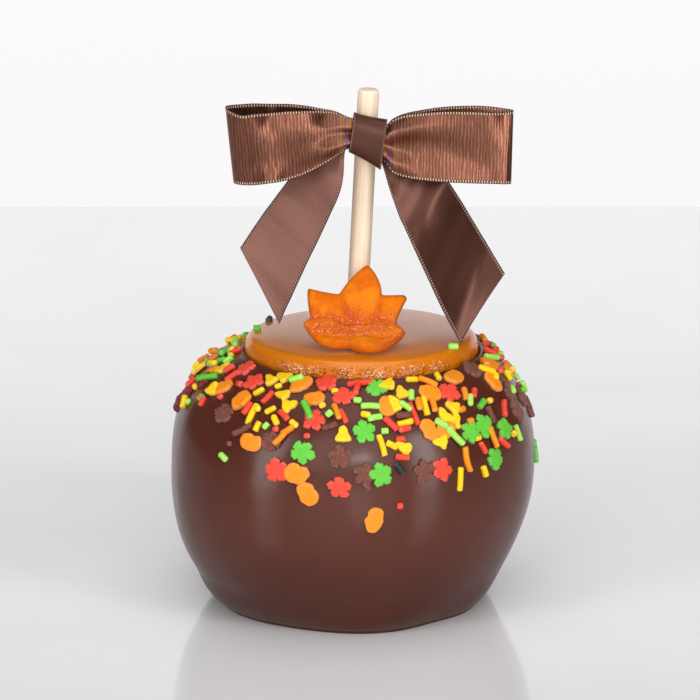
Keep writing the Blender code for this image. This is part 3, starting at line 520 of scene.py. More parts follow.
def turned_faces(rows, around):
    """Quads between rings of points, with the first and last ring closed by a fan to a middle point.

    The middle points are the two after the rings.
    """
    faces = []
    for i in range(rows - 1):
        for j in range(around):
            k = (j + 1) % around
            faces.append((i * around + j, i * around + k, (i + 1) * around + k, (i + 1) * around + j))
    first, last = rows * around, rows * around + 1
    for j in range(around):
        k = (j + 1) % around
        faces.append((first, k, j))
        faces.append((last, (rows - 1) * around + j, (rows - 1) * around + k))
    return faces


def sheet_faces(rows, columns, first=0):
    """Quads of a sheet, rows high and columns wide, whose points are numbered row by row from first."""
    faces = []
    for i in range(rows):
        for j in range(columns):
            a = first + i * (columns + 1) + j
            faces.append((a, a + 1, a + columns + 2, a + columns + 1))
    return faces


def turned_piece(name, points, rows, around, look):
    """A closed mesh object from rings of points and the two points that close it."""
    return outward_faces(new_piece(name, points, turned_faces(rows, around), look))


def angles_round(count):
    """Even steps round a circle, in radians."""
    return [2 * math.pi * j / count for j in range(count)]


# Materials


class Nodes:
    """A material's node tree, with one call for each kind of node that this script needs."""

    def __init__(self, name):
        self.look = bpy.data.materials.new(name)
        self.look.use_nodes = True
        self.tree = self.look.node_tree
        self.shader = self.tree.nodes["Principled BSDF"]

    def link(self, value, socket):
        """Feeds a socket with another socket, a number, some numbers or a colour of the palette."""
        if isinstance(value, str):
            value = linear(PALETTE[value])
        if isinstance(value, bpy.types.NodeSocket):
            self.tree.links.new(value, socket)
        elif hasattr(value, "__len__") and len(value) == 3 and socket.type == "RGBA":
            socket.default_value = (*value, 1.0)
        else:
            socket.default_value = value

    def add(self, kind, inputs=(), **settings):
        node = self.tree.nodes.new(f"ShaderNode{kind}")
        for key, value in settings.items():
            setattr(node, key, value)
        for key, value in dict(inputs).items():
            self.link(value, node.inputs[key])
        return node

    def stretched(self, vector, scale):
        return self.add("Mapping", {"Vector": vector, "Scale": scale}).outputs["Vector"]

    def place(self, scale=(1, 1, 1)):
        """The object's own coordinates in millimetres, stretched by scale."""
        return self.stretched(self.add("TexCoord").outputs["Object"], [s / MM for s in scale])

    def coordinate(self, axis):
        """One of the object's own coordinates, in metres."""
        return self.add("SeparateXYZ", {"Vector": self.add("TexCoord").outputs["Object"]}).outputs[axis]

    def mark(self, name):
        """The number that mark_points gave to the points."""
        return self.add("Attribute", attribute_name=name).outputs["Fac"]

    def noise(self, place, scale, detail=3.0, roughness=0.55, distortion=0.0):
        inputs = {"Vector": place, "Scale": scale, "Detail": detail, "Roughness": roughness}
        return self.add("TexNoise", {**inputs, "Distortion": distortion}).outputs["Fac"]

    def bubbles(self, place, scale):
        """The distance to the nearest of randomly strewn points."""
        inputs = {"Vector": place, "Scale": scale, "Randomness": 1.0}
        return self.add("TexVoronoi", inputs, feature="F1").outputs["Distance"]

    def math(self, operation, a, b=0.0):
        node = self.add("Math", operation=operation)
        self.link(a, node.inputs[0])
        self.link(b, node.inputs[1])
        return node.outputs[0]

    def times(self, product, *factors):
        for factor in factors:
            product = self.math("MULTIPLY", product, factor)
        return product

    def span(self, value, low, high, to_low=0.0, to_high=1.0):
        """value from low..high to to_low..to_high, smoothly."""
        inputs = {"Value": value, "From Min": low, "From Max": high, "To Min": to_low, "To Max": to_high}
        return self.add("MapRange", inputs, interpolation_type="SMOOTHSTEP").outputs["Result"]

    def blend(self, share, first, second):
        node = self.add("Mix", data_type="RGBA")
        self.link(share, node.inputs["Factor"])
        self.link(first, node.inputs[6])
        self.link(second, node.inputs[7])
        return node.outputs[2]

    def bump(self, height, distance, strength=1.0, normal=None):
        node = self.add("Bump", {"Height": height, "Distance": distance, "Strength": strength})
        if normal is not None:
            self.link(normal, node.inputs["Normal"])
        return node.outputs["Normal"]

    def finish(self, **inputs):
        """Sets sockets of the shader, whose names have spaces for the underscores here."""
        for key, value in inputs.items():
            self.link(value, self.shader.inputs[key.replace("_", " ")])
        return self.look


def chocolate():
    """Set milk chocolate: a satin skin, faintly cloudy, with a few tiny pits and painted shade low down."""
    n = Nodes("chocolate")
    place = n.place()
    cloud = n.noise(place, 0.035, 3.0)
    colour = n.blend(n.span(cloud, 0.3, 0.7), "chocolate", "cloudy chocolate")
    # painted shade: the chocolate is coloured darker towards the bottom
    thick = n.span(n.coordinate("Z"), *LOW_SHADE_HEIGHTS, 0.0, 0.85)
    colour = n.blend(thick, colour, "shaded chocolate")
    pits = n.span(n.noise(place, 2.4, 2.0), 0.72, 0.80)
    grain = n.times(n.noise(place, 1.5), 0.2)
    normal = n.bump(n.math("SUBTRACT", grain, pits), CHOCOLATE_PITS)
    normal = n.bump(n.noise(place, 0.10, 2.0), CHOCOLATE_SWELL, normal=normal)
    rough = n.span(n.noise(place, 0.08, 3.0), 0.3, 0.7, 0.20, 0.25)
    return n.finish(Base_Color=colour, Roughness=rough, Normal=normal, Specular_IOR_Level=0.28)


def sprinkle_look(name):
    """Pressed sugar of one colour, slightly grainy, paler at its rim and at a rod's ends. Brown is the
    roughest.
    """
    n = Nodes(f"sugar_{name.replace(' ', '_')}")
    place = n.place()
    coarse = name in COARSE_COLOURS
    base = linear(SPRINKLE_COLOURS[name])
    pale = [c + (1 - c) * 0.14 for c in base]
    deep = [c * (0.5 if coarse else 0.86) for c in base]
    mottle = n.noise(place, 1.9 if coarse else 1.3, 4.0, 0.65)
    colour = n.blend(n.span(mottle, 0.38, 0.62), deep, base)
    colour = n.blend(n.times(n.mark("edge"), 0.3 if coarse else 0.5), colour, pale)
    grain = n.noise(place, 2.6 if coarse else 4.5, 4.0, 0.7)
    normal = n.bump(grain, COARSE_GRAIN if coarse else FINE_GRAIN, 0.8)
    return n.finish(
        Base_Color=colour,
        Roughness=0.52,
        Normal=normal,
        Subsurface_Weight=0.12,
        Subsurface_Radius=(1.0, 0.6, 0.3),
        Subsurface_Scale=0.8 * MM,
        Specular_IOR_Level=0.35,
    )


def caramel():
    """Cooked caramel: translucent amber under a wet gloss.

    Bubbles froze along its lower edge, with painted highlight glints there in patches, both mostly in front.
    """
    n = Nodes("caramel")
    place = n.place()
    depth = n.math("SUBTRACT", CAP_TOP, n.coordinate("Z"))
    swirl = n.noise(place, 0.06, 4.0, 0.6, 1.2)
    top = n.blend(n.span(swirl, 0.3, 0.75), "caramel", "pale caramel")
    colour = n.blend(n.span(depth, *CARAMEL_EDGE), top, "caramel edge")
    front = n.span(n.coordinate("Y"), *FOAM_FRONT, 0.12, 1.0)
    low = n.times(n.span(depth, *FOAM_DEPTHS), front)
    foam = n.math("ADD", n.span(n.bubbles(place, 1.0), 0.6, 0.1), n.times(n.noise(place, 1.1, 2.0), 0.9))
    spread = n.span(n.noise(place, 0.16, 2.0), 0.34, 0.56, 0.35, 1.0)
    patches = n.span(n.noise(place, 0.22, 2.0), 0.38, 0.52)
    # painted highlight: pale glints in patches along the front of the lower edge
    rim_glints = n.times(n.span(n.bubbles(place, 1.9), 0.42, 0.18), low, n.span(depth, *GLINT_DEPTHS), patches)
    colour = n.blend(n.times(rim_glints, 0.9), colour, "rim_glints")
    return n.finish(
        Base_Color=colour,
        Roughness=n.span(low, 0.0, 1.0, 0.15, 0.09),
        Normal=n.bump(n.times(foam, low, spread), FOAM_HEIGHT),
        IOR=1.41,
        Subsurface_Weight=0.6,
        Subsurface_Radius=(1.0, 0.40, 0.06),
        Subsurface_Scale=3.0 * MM,
        Coat_Weight=0.15,
        Coat_Roughness=0.06,
    )


def birch():
    """Pale sanded birch: fine grain along the stick, with short darker flecks."""
    n = Nodes("birch_wood")
    grain = n.noise(n.place((1.8, 1.8, 0.035)), 1.4, 4.0, 0.5)
    flecks = n.span(n.noise(n.place((2.4, 2.4, 0.12)), 2.0, 3.0), 0.62, 0.72)
    colour = n.blend(n.span(grain, 0.3, 0.7), "birch", "pale birch")
    colour = n.blend(n.times(flecks, 0.22), colour, "birch fleck")
    return n.finish(Base_Color=colour, Roughness=0.55, Normal=n.bump(grain, BIRCH_GRAIN))


def leaf_sugar():
    """Orange sugar jelly dusted pale red-brown low down and in grooves, with painted groove shade and glints.
    """
    n = Nodes("leaf_sugar")
    place = n.place()
    dust = n.mark("dust")
    mottle = n.noise(place, 0.16, 4.0, 0.6)
    colour = n.blend(n.span(mottle, 0.35, 0.65), "jelly", "pale jelly")
    dusted = n.times(dust, n.span(n.noise(place, 1.9, 4.0, 0.7), 0.36, 0.60, 0.3, 1.0))
    colour = n.blend(dusted, colour, "leaf dust")
    # painted shade: darker in the grooves and creases
    colour = n.blend(n.times(n.mark("groove"), 0.45), colour, "groove shade")
    colour = n.blend(n.times(n.mark("rim"), 0.75), colour, "leaf rim")
    crystals = n.noise(place, 2.0, 3.0, 0.8)
    # painted highlight: bright glints on the crystals where the dust lies
    glints = n.times(n.span(crystals, 0.57, 0.64), n.span(dust, 0.1, 0.7, 0.12, 1.0))
    colour = n.blend(n.times(glints, 0.8), colour, "sugar glint")
    return n.finish(
        Base_Color=colour,
        Roughness=n.span(glints, 0.0, 1.0, 0.5, 0.25),
        Normal=n.bump(n.times(crystals, n.span(dust, 0.0, 0.8, 0.4, 1.0)), CRYSTAL_HEIGHT, 0.9),
        Specular_IOR_Level=0.1,
        Subsurface_Weight=0.2,
        Subsurface_Radius=(1.0, 0.35, 0.05),
        Subsurface_Scale=1.2 * MM,
    )


def waved(n, along, pitch):
    """A wave from -1 to 1 that repeats along the cloth."""
    return n.math("SINE", n.times(along, 2 * math.pi / (pitch / MM)))


def stitches(n, along, across):
    """Where the cloth's woven border is, and where its pale stitches are."""
    from_edge = n.math("SUBTRACT", RIBBON_WIDTH / MM / 2, n.math("ABSOLUTE", across))
    border = n.span(from_edge, STITCH_WIDTH / MM + 0.08, STITCH_WIDTH / MM - 0.08)
    stitch = n.times(n.span(waved(n, along, STITCH_PITCH), 0.1, 0.7), n.span(from_edge, 0.10, 0.3))
    return border, stitch


def ribbed(n, cloth, along, tone, colour, weave):
    """The long ribbon's colour, weave, stitch colour, metal and roughness.

    Its points are marked with ribs, where coppery ribs run from edge to edge, with sheen, where a painted
    gold and lilac sheen lies on them, and on the left tail, which is painted lighter as if lit and is
    rougher.
    """
    ribs, sheen, lit_tail = n.mark("ribs"), n.mark("sheen"), n.mark("lit_tail")
    # painted light: the left tail is coloured lighter, as if lit
    colour = n.blend(lit_tail, colour, n.blend(tone, "lit satin", "pale lit satin"))
    wander = n.noise(n.stretched(cloth, (0.35, 0.12, 1.0)), 1.0, 2.0)
    rib = waved(n, n.math("ADD", along, n.times(wander, 1.6)), RIB_PITCH)
    threads = n.noise(n.stretched(cloth, (3.0, 0.25, 1.0)), 1.0, 3.0, 0.6)
    light = n.times(n.span(rib, -0.8, 0.9), n.span(threads, 0.3, 0.7, 0.1, 1.0))
    colour = n.blend(ribs, colour, n.blend(light, "rib valley", "rib"))
    # painted sheen: gold and lilac bands on the ribs near the knot
    bands = n.noise(n.stretched(cloth, (0.75, 0.04, 1.0)), 1.0, 1.0)
    gold = n.blend(n.span(bands, 0.42, 0.58), "gold sheen", "lilac sheen")
    colour = n.blend(n.times(sheen, 0.5), colour, gold)
    weave = n.math("ADD", weave, n.times(rib, 0.28, ribs))
    stitch_colour = n.blend(ribs, "stitch", "bright stitch")
    metal = n.span(n.math("SUBTRACT", ribs, lit_tail), -1.0, 1.0, 0.25, 0.85)
    return colour, weave, stitch_colour, metal, n.span(lit_tail, 0.0, 1.0, 0.34, 0.48)


def satin(name, deep, bright, has_ribs):
    """Brown satin, from deep to bright. The UV map "cloth" gives millimetres along and across it."""
    n = Nodes(name)
    cloth = n.add("UVMap", uv_map="cloth").outputs["UV"]
    parts = n.add("SeparateXYZ", {"Vector": cloth})
    along, across = parts.outputs["X"], parts.outputs["Y"]
    grain = n.noise(n.stretched(cloth, (2.6, 2.6, 1.0)), 1.0, 3.0, 0.7)
    tone = n.span(grain, 0.3, 0.7)
    colour = n.blend(tone, deep, bright)
    weave = n.times(grain, 0.4)
    stitch_colour, metal, rough = "stitch", 0.5, 0.34
    if has_ribs:
        colour, weave, stitch_colour, metal, rough = ribbed(n, cloth, along, tone, colour, weave)
    border, stitch = stitches(n, along, across)
    inside = n.math("SUBTRACT", 1.0, border)
    normal = n.bump(n.times(weave, inside), WEAVE_HEIGHT)
    return n.finish(
        Base_Color=n.blend(border, colour, n.blend(stitch, "border", stitch_colour)),
        Roughness=n.math("MAXIMUM", rough, n.times(border, 0.6)),
        Metallic=n.times(inside, metal),
        Normal=n.bump(n.times(border, stitch), STITCH_HEIGHT, normal=normal),
        Specular_IOR_Level=0.3,
    )


def clear_plastic():
    """A thin clear tie, slightly hazy."""
    n = Nodes("clear_tie")
    colour = n.blend(n.noise(n.place(), 0.8, 3.0), "tie", "pale tie")
    return n.finish(Base_Color=colour, Roughness=0.18, Transmission_Weight=0.55, IOR=1.46)


def floor_look():
    """Pale polished stone, almost plain, that mirrors a little and grows lighter towards its far edge."""
    n = Nodes("pale_floor")
    vein = n.noise(n.place(), 0.004, 6.0, 0.62, 0.8)
    return n.finish(
        Base_Color=n.blend(n.span(vein, 0.35, 0.7), "floor", "floor vein"),
        Roughness=0.10,
        Specular_IOR_Level=0.8,
        Emission_Color=(1.0, 1.0, 1.0),
        Emission_Strength=n.span(n.coordinate("Y"), FLOOR_GLOW_START, FLOOR_BACK, 0.0, FLOOR_GLOW),
    )


def backdrop_look():
    """White that glows, and fades towards its top."""
    n = Nodes("backdrop")
    return n.finish(
        Base_Color=(0.1, 0.1, 0.1),
        Roughness=0.9,
        Emission_Color=BACKDROP_COLOUR,
        Emission_Strength=n.span(n.coordinate("Z"), *BACKDROP_FADE, BACKDROP_GLOW, BACKDROP_TOP_GLOW),
    )


# The chocolate


def waves(table, azimuth):
    """The sum of waves round the apple, each given by its count, its size and the angle of a crest."""
    return sum(size * math.cos(count * (azimuth - math.radians(crest))) for count, size, crest in table)


def lobes(table, azimuth):
    """The sum of single bulges, each given by the angle of its crest, its spread and its size."""
    total = 0.0
    for crest, spread, size in table:
        apart = (math.degrees(azimuth) - crest + 180) % 360 - 180
        total += size * math.exp(-((apart / spread) ** 2))
    return total


def body_radius(height):
    """Radius of the even apple at a height."""
    up = height - WIDEST_HEIGHT
    reach, power = (SHOULDER_REACH, SHOULDER_POWER) if up > 0 else (BELLY_REACH, BELLY_POWER)
    return WIDEST_RADIUS * (1 - (abs(up) / reach) ** power) ** (1 / power)


def skin_table(steps=400):
    """Distances down the skin from the rim, with the radius and the height at each."""
    turn = [math.pi / 2 * i / steps for i in range(steps + 1)]
    upper = [WIDEST_HEIGHT + SHOULDER_REACH * math.cos(t) ** (2 / SHOULDER_POWER) for t in turn]
    heights = [RIM_HEIGHT] + [z for z in upper if z < RIM_HEIGHT]
    heights += [WIDEST_HEIGHT * (1 - i / steps) for i in range(1, steps + 1)]
    points = [(body_radius(z), z) for z in heights]
    drops = [0.0]
    for before, after in zip(points, points[1:]):
        drops.append(drops[-1] + math.dist(before, after))
    return drops, points


SKIN_DROPS, SKIN_POINTS = skin_table()


def skin_profile(drop):
    """(radius, height) of the even apple's skin, at a distance down from the rim."""
    i = min(max(bisect.bisect_left(SKIN_DROPS, drop), 1), len(SKIN_DROPS) - 1)
    share = (drop - SKIN_DROPS[i - 1]) / (SKIN_DROPS[i] - SKIN_DROPS[i - 1])
    return tuple(a + (b - a) * share for a, b in zip(SKIN_POINTS[i - 1], SKIN_POINTS[i]))


def uneven(radius, height, azimuth):
    """Where a point of the even apple lies once its waves, its foot and its shifted rim are added."""
    share = radius / WIDEST_RADIUS
    radius += waves(BODY_WAVES, azimuth) * share * math.sin(math.pi * min(height / RIM_HEIGHT, 1.0))
    foot = FOOT_RADIUS + waves(FOOT_WAVES, azimuth) + lobes(FOOT_LOBES, azimuth) - body_radius(0.0)
    radius += foot * share * (1 - smooth((height - FOOT_HEIGHT) / FOOT_BLEND))
    shift = RIM_SHIFT * smooth((height - RIM_SHIFT_START) / (RIM_HEIGHT - RIM_SHIFT_START))
    shift -= SAG * share * math.exp(-(((height - SAG_HEIGHT) / SAG_SPREAD) ** 2))
    return Vector((radius * math.cos(azimuth) + shift, radius * math.sin(azimuth), height))


def skin(azimuth, drop):
    return uneven(*skin_profile(drop), azimuth)


def skin_frame(azimuth, drop, turn_step=0.01, drop_step=0.4 * MM):
    """Point on the chocolate and the outward normal there."""
    round_it = skin(azimuth + turn_step, drop) - skin(azimuth - turn_step, drop)
    down = skin(azimuth, drop + drop_step) - skin(azimuth, max(drop - drop_step, 0.0))
    return skin(azimuth, drop), down.cross(round_it).normalized()


def body_profile():
    """From the floor under the caramel, over the rounded lip and down the skin, to the foot's flat edge."""
    rim = body_radius(RIM_HEIGHT)
    floor = RIM_HEIGHT - 2 * LIP_RISE
    lip = [(rim * 0.5, floor), (rim - 2.2 * LIP_THICKNESS, floor)]
    for i in range(LIP_STEPS + 1):
        turn = math.pi * (1 - i / LIP_STEPS)
        out = rim - LIP_THICKNESS * (0.55 - 0.45 * math.cos(turn))
        lip.append((out, RIM_HEIGHT + LIP_RISE * math.sin(turn) + LIP_RISE * 0.3))
    side = [skin_profile(SKIN_DROPS[-1] * i / SKIN_STEPS) for i in range(1, SKIN_STEPS)]
    toe = [(body_radius(0.0) + out, up) for out, up in TOE]
    return lip + [s for s in side if s[1] > TOE_TOP] + toe


def make_chocolate():
    """The coat, from the floor under the caramel to the foot, with faint lumps."""
    profile = body_profile()
    points = []
    for radius, height in profile:
        for azimuth in angles_round(BODY_STEPS):
            place = uneven(radius, height, azimuth)
            lump = noise.noise(place / LUMP_SIZE) + 0.4 * noise.noise(place / (0.35 * LUMP_SIZE))
            away = Vector((math.cos(azimuth), math.sin(azimuth), 0))
            points.append(place + away * lump * LUMP_HEIGHT * smooth(height / LUMP_START))
    points += [Vector((0, 0, profile[0][1])), Vector((0, 0, 0))]
    return turned_piece("chocolate", points, len(profile), BODY_STEPS, chocolate())


# Sprinkles


def leaf_radius(angle):
    """Five broad lobes with narrow notches between them, and small teeth on each."""
    around = angle - math.pi / 2
    lobe = abs(math.cos(2.5 * around)) ** 0.6
    return LEAF_SPRINKLE * (0.62 + 0.34 * lobe + 0.035 * math.cos(15 * around))


def pumpkin_radius(angle):
    """An oval with a deep notch on one side and a shallow one on the other."""
    oval = 1 / math.hypot(math.cos(angle) / 1.06, math.sin(angle) / 0.80)
    deep = 0.17 * math.exp(-(((angle - 1.35) / 0.34) ** 2))
    shallow = 0.06 * math.exp(-(((angle - 4.6) / 0.40) ** 2))
    return PUMPKIN_SPRINKLE * (oval - deep - shallow)


def corn_radius(angle):
    """A triangle with round corners."""
    around = angle - math.pi / 2
    long = 1 + 0.14 * math.cos(2 * around)
    return CORN_SPRINKLE * long * (0.85 + 0.20 * math.cos(3 * around) + 0.03 * math.cos(6 * around))


PLATES = {"leaf": (leaf_radius, 60), "pumpkin": (pumpkin_radius, 40), "corn": (corn_radius, 33)}
PLATE_PROFILE = (  # share of the outline's radius, share of the thickness, and how near the rim it is
    (0.93, 0.0, 1.0),
    (0.985, 0.2, 1.0),
    (1.0, 0.5, 1.0),
    (0.985, 0.78, 0.85),
    (0.94, 0.93, 0.5),
    (0.86, 1.0, 0.12),
    (0.55, 1.03, 0.0),
)
REACHES = {"leaf": LEAF_SPRINKLE, "pumpkin": PUMPKIN_SPRINKLE, "corn": CORN_SPRINKLE}


def plate(kind, draw):
    """A pressed sugar shape with a rounded rim: its points, its faces and how near its rim each point is."""
    radius_at, around = PLATES[kind]
    seed = Vector((0, 0, draw.uniform(0, 99)))
    wide, long = draw.uniform(0.90, 1.04), draw.uniform(0.92, 1.08)
    points, rims = [], []
    for share, up, rim in PLATE_PROFILE:
        for angle in angles_round(around):
            way = Vector((math.cos(angle), math.sin(angle), 0))
            radius = share * radius_at(angle) * (1 + UNEVENNESS * noise.noise(way * 1.9 + seed))
            points.append((way.x * radius * wide, way.y * radius * long, PLATE_THICKNESS * up - SUNK))
            rims.append(rim)
    points += [(0, 0, -SUNK), (0, 0, PLATE_THICKNESS * PLATE_PROFILE[-1][1] - SUNK)]
    return points, turned_faces(len(PLATE_PROFILE), around), rims + [1.0, 0.0]


def rod(length, draw):
    """A thread of sugar, broken off short: a little bent, with blunt or round ends."""
    bend = draw.uniform(-1, 1) * ROD_BEND * length**2
    thick = ROD_RADIUS * draw.uniform(0.92, 1.06)
    half = length / 2
    tip = min(draw.choice(ROD_TIPS) * thick, half * 0.9)
    end = [(-half + tip * (1 - math.cos(t)), thick * math.sin(t)) for t in ROD_TIP_TURNS]
    middle = [(x * (half - tip), thick) for x in (-0.5, 0.0, 0.5)]
    stations = end + middle + [(-x, radius) for x, radius in reversed(end)]
    points, rims = [], []
    for x, radius in stations:
        side = bend * (1 - (x / half) ** 2)
        for turn in angles_round(ROD_SIDES):
            points.append((x, side + radius * math.cos(turn), radius * math.sin(turn) + thick - SUNK))
            rims.append(0.9 * (radius < 0.9 * thick))
    start = end[0][0]
    points += [(start, 0, thick - SUNK), (-start, 0, thick - SUNK)]
    return points, turned_faces(len(stations), ROD_SIDES), rims + [1.0, 1.0]


def drawn_sprinkles():
    """The sprinkles of the back, at the CAD model's places: kind, colour, azimuth, drop, turn and length."""
    draw = random.Random(SPRINKLE_SEED)
    found = []
    for kind, count in BACK_SPRINKLES.items():
        for number in range(count):
            length = draw.uniform(*ROD_LENGTHS) if kind == "rod" else 0.0
            azimuth = draw.uniform(*BACK_AZIMUTHS)
            drop = draw.uniform(RIM_MARGIN, BAND_DEPTH)
            if draw.random() < STRAY_SHARE:
                drop = draw.uniform(BAND_DEPTH, STRAY_DEPTH)
            colours = BACK_COLOURS[kind]
            turn = math.degrees(draw.uniform(0, 2 * math.pi))
            found.append((kind, colours[number % len(colours)], azimuth, drop, turn, length))
    return found


def small_sprinkles():
    """Short rods and dots drawn between the larger sprinkles, where the photograph can't say."""
    draw = random.Random(SCATTER_SEED)
    found = []
    for azimuths, count in SMALL_SPRINKLES:
        for _ in range(count):
            kind = draw.choice(("dot", "rod"))
            length = draw.uniform(*SMALL_LENGTHS[kind])
            drop = draw.uniform(SMALL_MARGIN, BAND_DEPTH)
            colour = draw.choice(SMALL_COLOURS)
            found.append((kind, colour, draw.uniform(*azimuths), drop, draw.uniform(0, 360), length))
    return found


def laid_sprinkles():
    """Every sprinkle with its lift, counted from the ones it lies on."""
    wanted = []
    for (kind, colour), rows in FRONT_SPRINKLES.items():
        wanted += [(kind, colour, azimuth, drop, turn, sum(length)) for azimuth, drop, turn, *length in rows]
    wanted += drawn_sprinkles() + small_sprinkles()
    laid, places = [], []
    for kind, colour, azimuth, drop, turn, length in wanted:
        point = skin(math.radians(azimuth), drop * MM)
        reach = REACHES.get(kind, length * MM / 2)
        under = [up for other, far, up in places if (point - other).length < TOUCH_SHARE * (reach + far)]
        lift = min(2 * LIFT, max(under) + LIFT) if under else 0.0
        places.append((point, reach, lift))
        laid.append((kind, colour, math.radians(azimuth), drop * MM, math.radians(turn), length * MM, lift))
    return laid


def sprinkle_place(azimuth, drop, turn, lift, draw):
    """Where a sprinkle lies on the chocolate: x runs round the apple and z away from it."""
    point, normal = skin_frame(azimuth, drop)
    round_it = Vector((-math.sin(azimuth), math.cos(azimuth), 0))
    along = (round_it - normal * round_it.dot(normal)).normalized()
    frame = Matrix((along, normal.cross(along), normal)).transposed() @ Matrix.Rotation(turn, 3, "Z")
    spread = TILT_SPREAD * (1 if lift == 0 else 2)
    for axis in "XY":
        frame = frame @ Matrix.Rotation(math.radians(draw.uniform(-spread, spread)), 3, axis)
    return Matrix.Translation(point + normal * lift) @ frame.to_4x4()


def caramel_sprinkles(draw):
    """The bits of sugar that lie on the caramel: kind, colour, shape and place."""
    found = []
    for kind, colour, right, behind, turn, length in CAP_SPRINKLES:
        fall = cap_fall(math.hypot(right * MM - RIM_SHIFT, behind * MM))
        place = Matrix.Translation((right * MM, behind * MM, CAP_TOP - fall))
        place = place @ Matrix.Rotation(math.radians(turn), 4, "Z")
        found.append((kind, colour, rod(length * MM, draw), place))
    return found


def joined_sprinkles(kind, sprinkles, looks):
    """The sprinkles of one kind as one mesh, with a material for each of its colours."""
    used = [colour for colour in looks if any(colour == sprinkle[0] for sprinkle in sprinkles)]
    points, faces, rims, slots = [], [], [], []
    for colour, (shape_points, shape_faces, shape_rims), place in sprinkles:
        first = len(points)
        points += [place @ Vector(p) for p in shape_points]
        faces += [[first + i for i in face] for face in shape_faces]
        rims += shape_rims
        slots += [used.index(colour)] * len(shape_faces)
    piece = new_piece(f"{kind}_sprinkles", points, faces, *[looks[colour] for colour in used])
    piece.data.polygons.foreach_set("material_index", slots)
    mark_points(piece, "edge", rims)
    return outward_faces(piece)


def make_sprinkles():
    """One mesh for each kind of sprinkle."""
    draw = random.Random(SCATTER_SEED)
    kinds = {}
    for kind, colour, azimuth, drop, turn, length, lift in laid_sprinkles():
        shape = plate(kind, draw) if kind in PLATES else rod(length, draw)
        kinds.setdefault(kind, []).append((colour, shape, sprinkle_place(azimuth, drop, turn, lift, draw)))
    for kind, *sprinkle in caramel_sprinkles(draw):
        kinds[kind].append(sprinkle)
    looks = {colour: sprinkle_look(colour) for colour in SPRINKLE_COLOURS}
    return [joined_sprinkles(kind, sprinkles, looks) for kind, sprinkles in kinds.items()]


# The caramel cap and the stick


def stick_axis(height):
    """Place on the leaning stick's axis at a height."""
    return Vector((STICK_AT_CAP + (height - CAP_TOP) * math.tan(STICK_LEAN), 0.0, height))


def cap_place(radius, height, azimuth):
    """A place on the caramel, whose outline waves a little and whose middle lies beside the apple's."""
    radius += waves(CAP_WAVES, azimuth) * (radius / CAP_RADIUS) ** 2
    return Vector((RIM_SHIFT + radius * math.cos(azimuth), radius * math.sin(azimuth), height))


def cap_profile():
    """From the top's outer flat, over the soft edge and down to the seat."""
    flat = CAP_RADIUS - CAP_EDGE_REACH
    rows = [(flat * (i + 1) / CAP_TOP_STEPS, CAP_TOP) for i in range(CAP_TOP_STEPS)]
    for i in range(1, CAP_EDGE_STEPS + 1):
        turn = math.pi / 2 * i / CAP_EDGE_STEPS
        inset = CAP_EDGE_REACH * (1 - math.sin(turn) ** (2 / CAP_EDGE_POWER))
        down = CAP_EDGE_DEPTH * (1 - math.cos(turn) ** (2 / CAP_EDGE_POWER))
        rows.append((CAP_RADIUS - inset, CAP_TOP - down))
    return rows + [(CAP_RADIUS - CAP_TAPER, CAP_SEAT)]


def cap_fall(radius):
    """How far the caramel's slight dome has fallen at a radius."""
    return CAP_DOME * max(0.0, (radius - CAP_DOME_START) / (CAP_RADIUS - CAP_DOME_START)) ** 2


def make_cap():
    """The caramel, with a slight rise where it wets the stick and a ripple along its lower edge."""
    profile = cap_profile()
    stick = stick_axis(CAP_TOP)
    points = []
    for radius, height in profile:
        low = smooth((CAP_TOP - CAP_LOW_START - height) / CAP_LOW_REACH)
        for azimuth in angles_round(CAP_STEPS):
            ripple = noise.noise((azimuth * CAP_RIPPLES, height / CAP_RIPPLE_RISE, 2.0))
            place = cap_place(radius + CAP_RIPPLE * ripple * low, height, azimuth)
            from_stick = math.hypot(place.x - stick.x, place.y - stick.y) - STICK_RADIUS
            place.z += CAP_MENISCUS * math.exp(-max(from_stick, 0.0) / CAP_MENISCUS_REACH) * (1 - low)
            place.z -= cap_fall(radius)
            points.append(place)
    points += [Vector((RIM_SHIFT, 0, CAP_TOP)), Vector((RIM_SHIFT, 0, CAP_SEAT))]
    return turned_piece("caramel", points, len(profile), CAP_STEPS, caramel())


def make_stick():
    """A turned dowel with softened ends, leaning to the right."""
    foot = stick_axis(STICK_FOOT)
    along = stick_axis(STICK_TOP) - foot
    worn = [(STICK_CHAMFER * (1 - math.cos(t)), STICK_CHAMFER * (1 - math.sin(t))) for t in STICK_WEAR]
    ends = [(up, STICK_RADIUS - inset) for up, inset in worn] + [(STICK_CHAMFER, STICK_RADIUS)]
    rows = ends + [(along.length * i / STICK_ROWS, STICK_RADIUS) for i in range(1, STICK_ROWS)]
    rows += [(along.length - up, radius) for up, radius in reversed(ends)]
    points = []
    for up, radius in rows:
        for turn in angles_round(STICK_SIDES):
            bump = noise.noise((math.cos(turn) * 2, math.sin(turn) * 2, up * 60))
            out = radius * (1 + STICK_UNEVENNESS * bump)
            points.append((out * math.cos(turn), out * math.sin(turn), up))
    points += [(0, 0, 0), (0, 0, along.length)]
    piece = turned_piece("dowel", points, len(rows), STICK_SIDES, birch())
    piece.location = foot
    piece.rotation_mode = "QUATERNION"
    piece.rotation_quaternion = Vector((0, 0, 1)).rotation_difference(along)
    return piece


# The sugar leaf


def leaf_outline():
    """Points round the flat leaf, whose sides bulge between their corners, with the corners worn round."""
    points = []
    for i, (x, y, bulge) in enumerate(LEAF_CORNERS):
        start, end = Vector((x, y)), Vector(LEAF_CORNERS[(i + 1) % len(LEAF_CORNERS)][:2])
        side = end - start
        outward = Vector((-side.y, side.x)).normalized()
        steps = max(2, round(side.length / LEAF_SIDE_STEP))
        for k in range(steps):
            share = k / steps
            points.append((start + side * share + outward * bulge * (4 * share * (1 - share)) ** 0.8) * MM)
    for _ in range(LEAF_SOFTENINGS):
        after = points[1:] + points[:1]
        points = [(points[i - 1] + 2 * points[i] + after[i]) / 4 for i in range(len(points))]
    return points


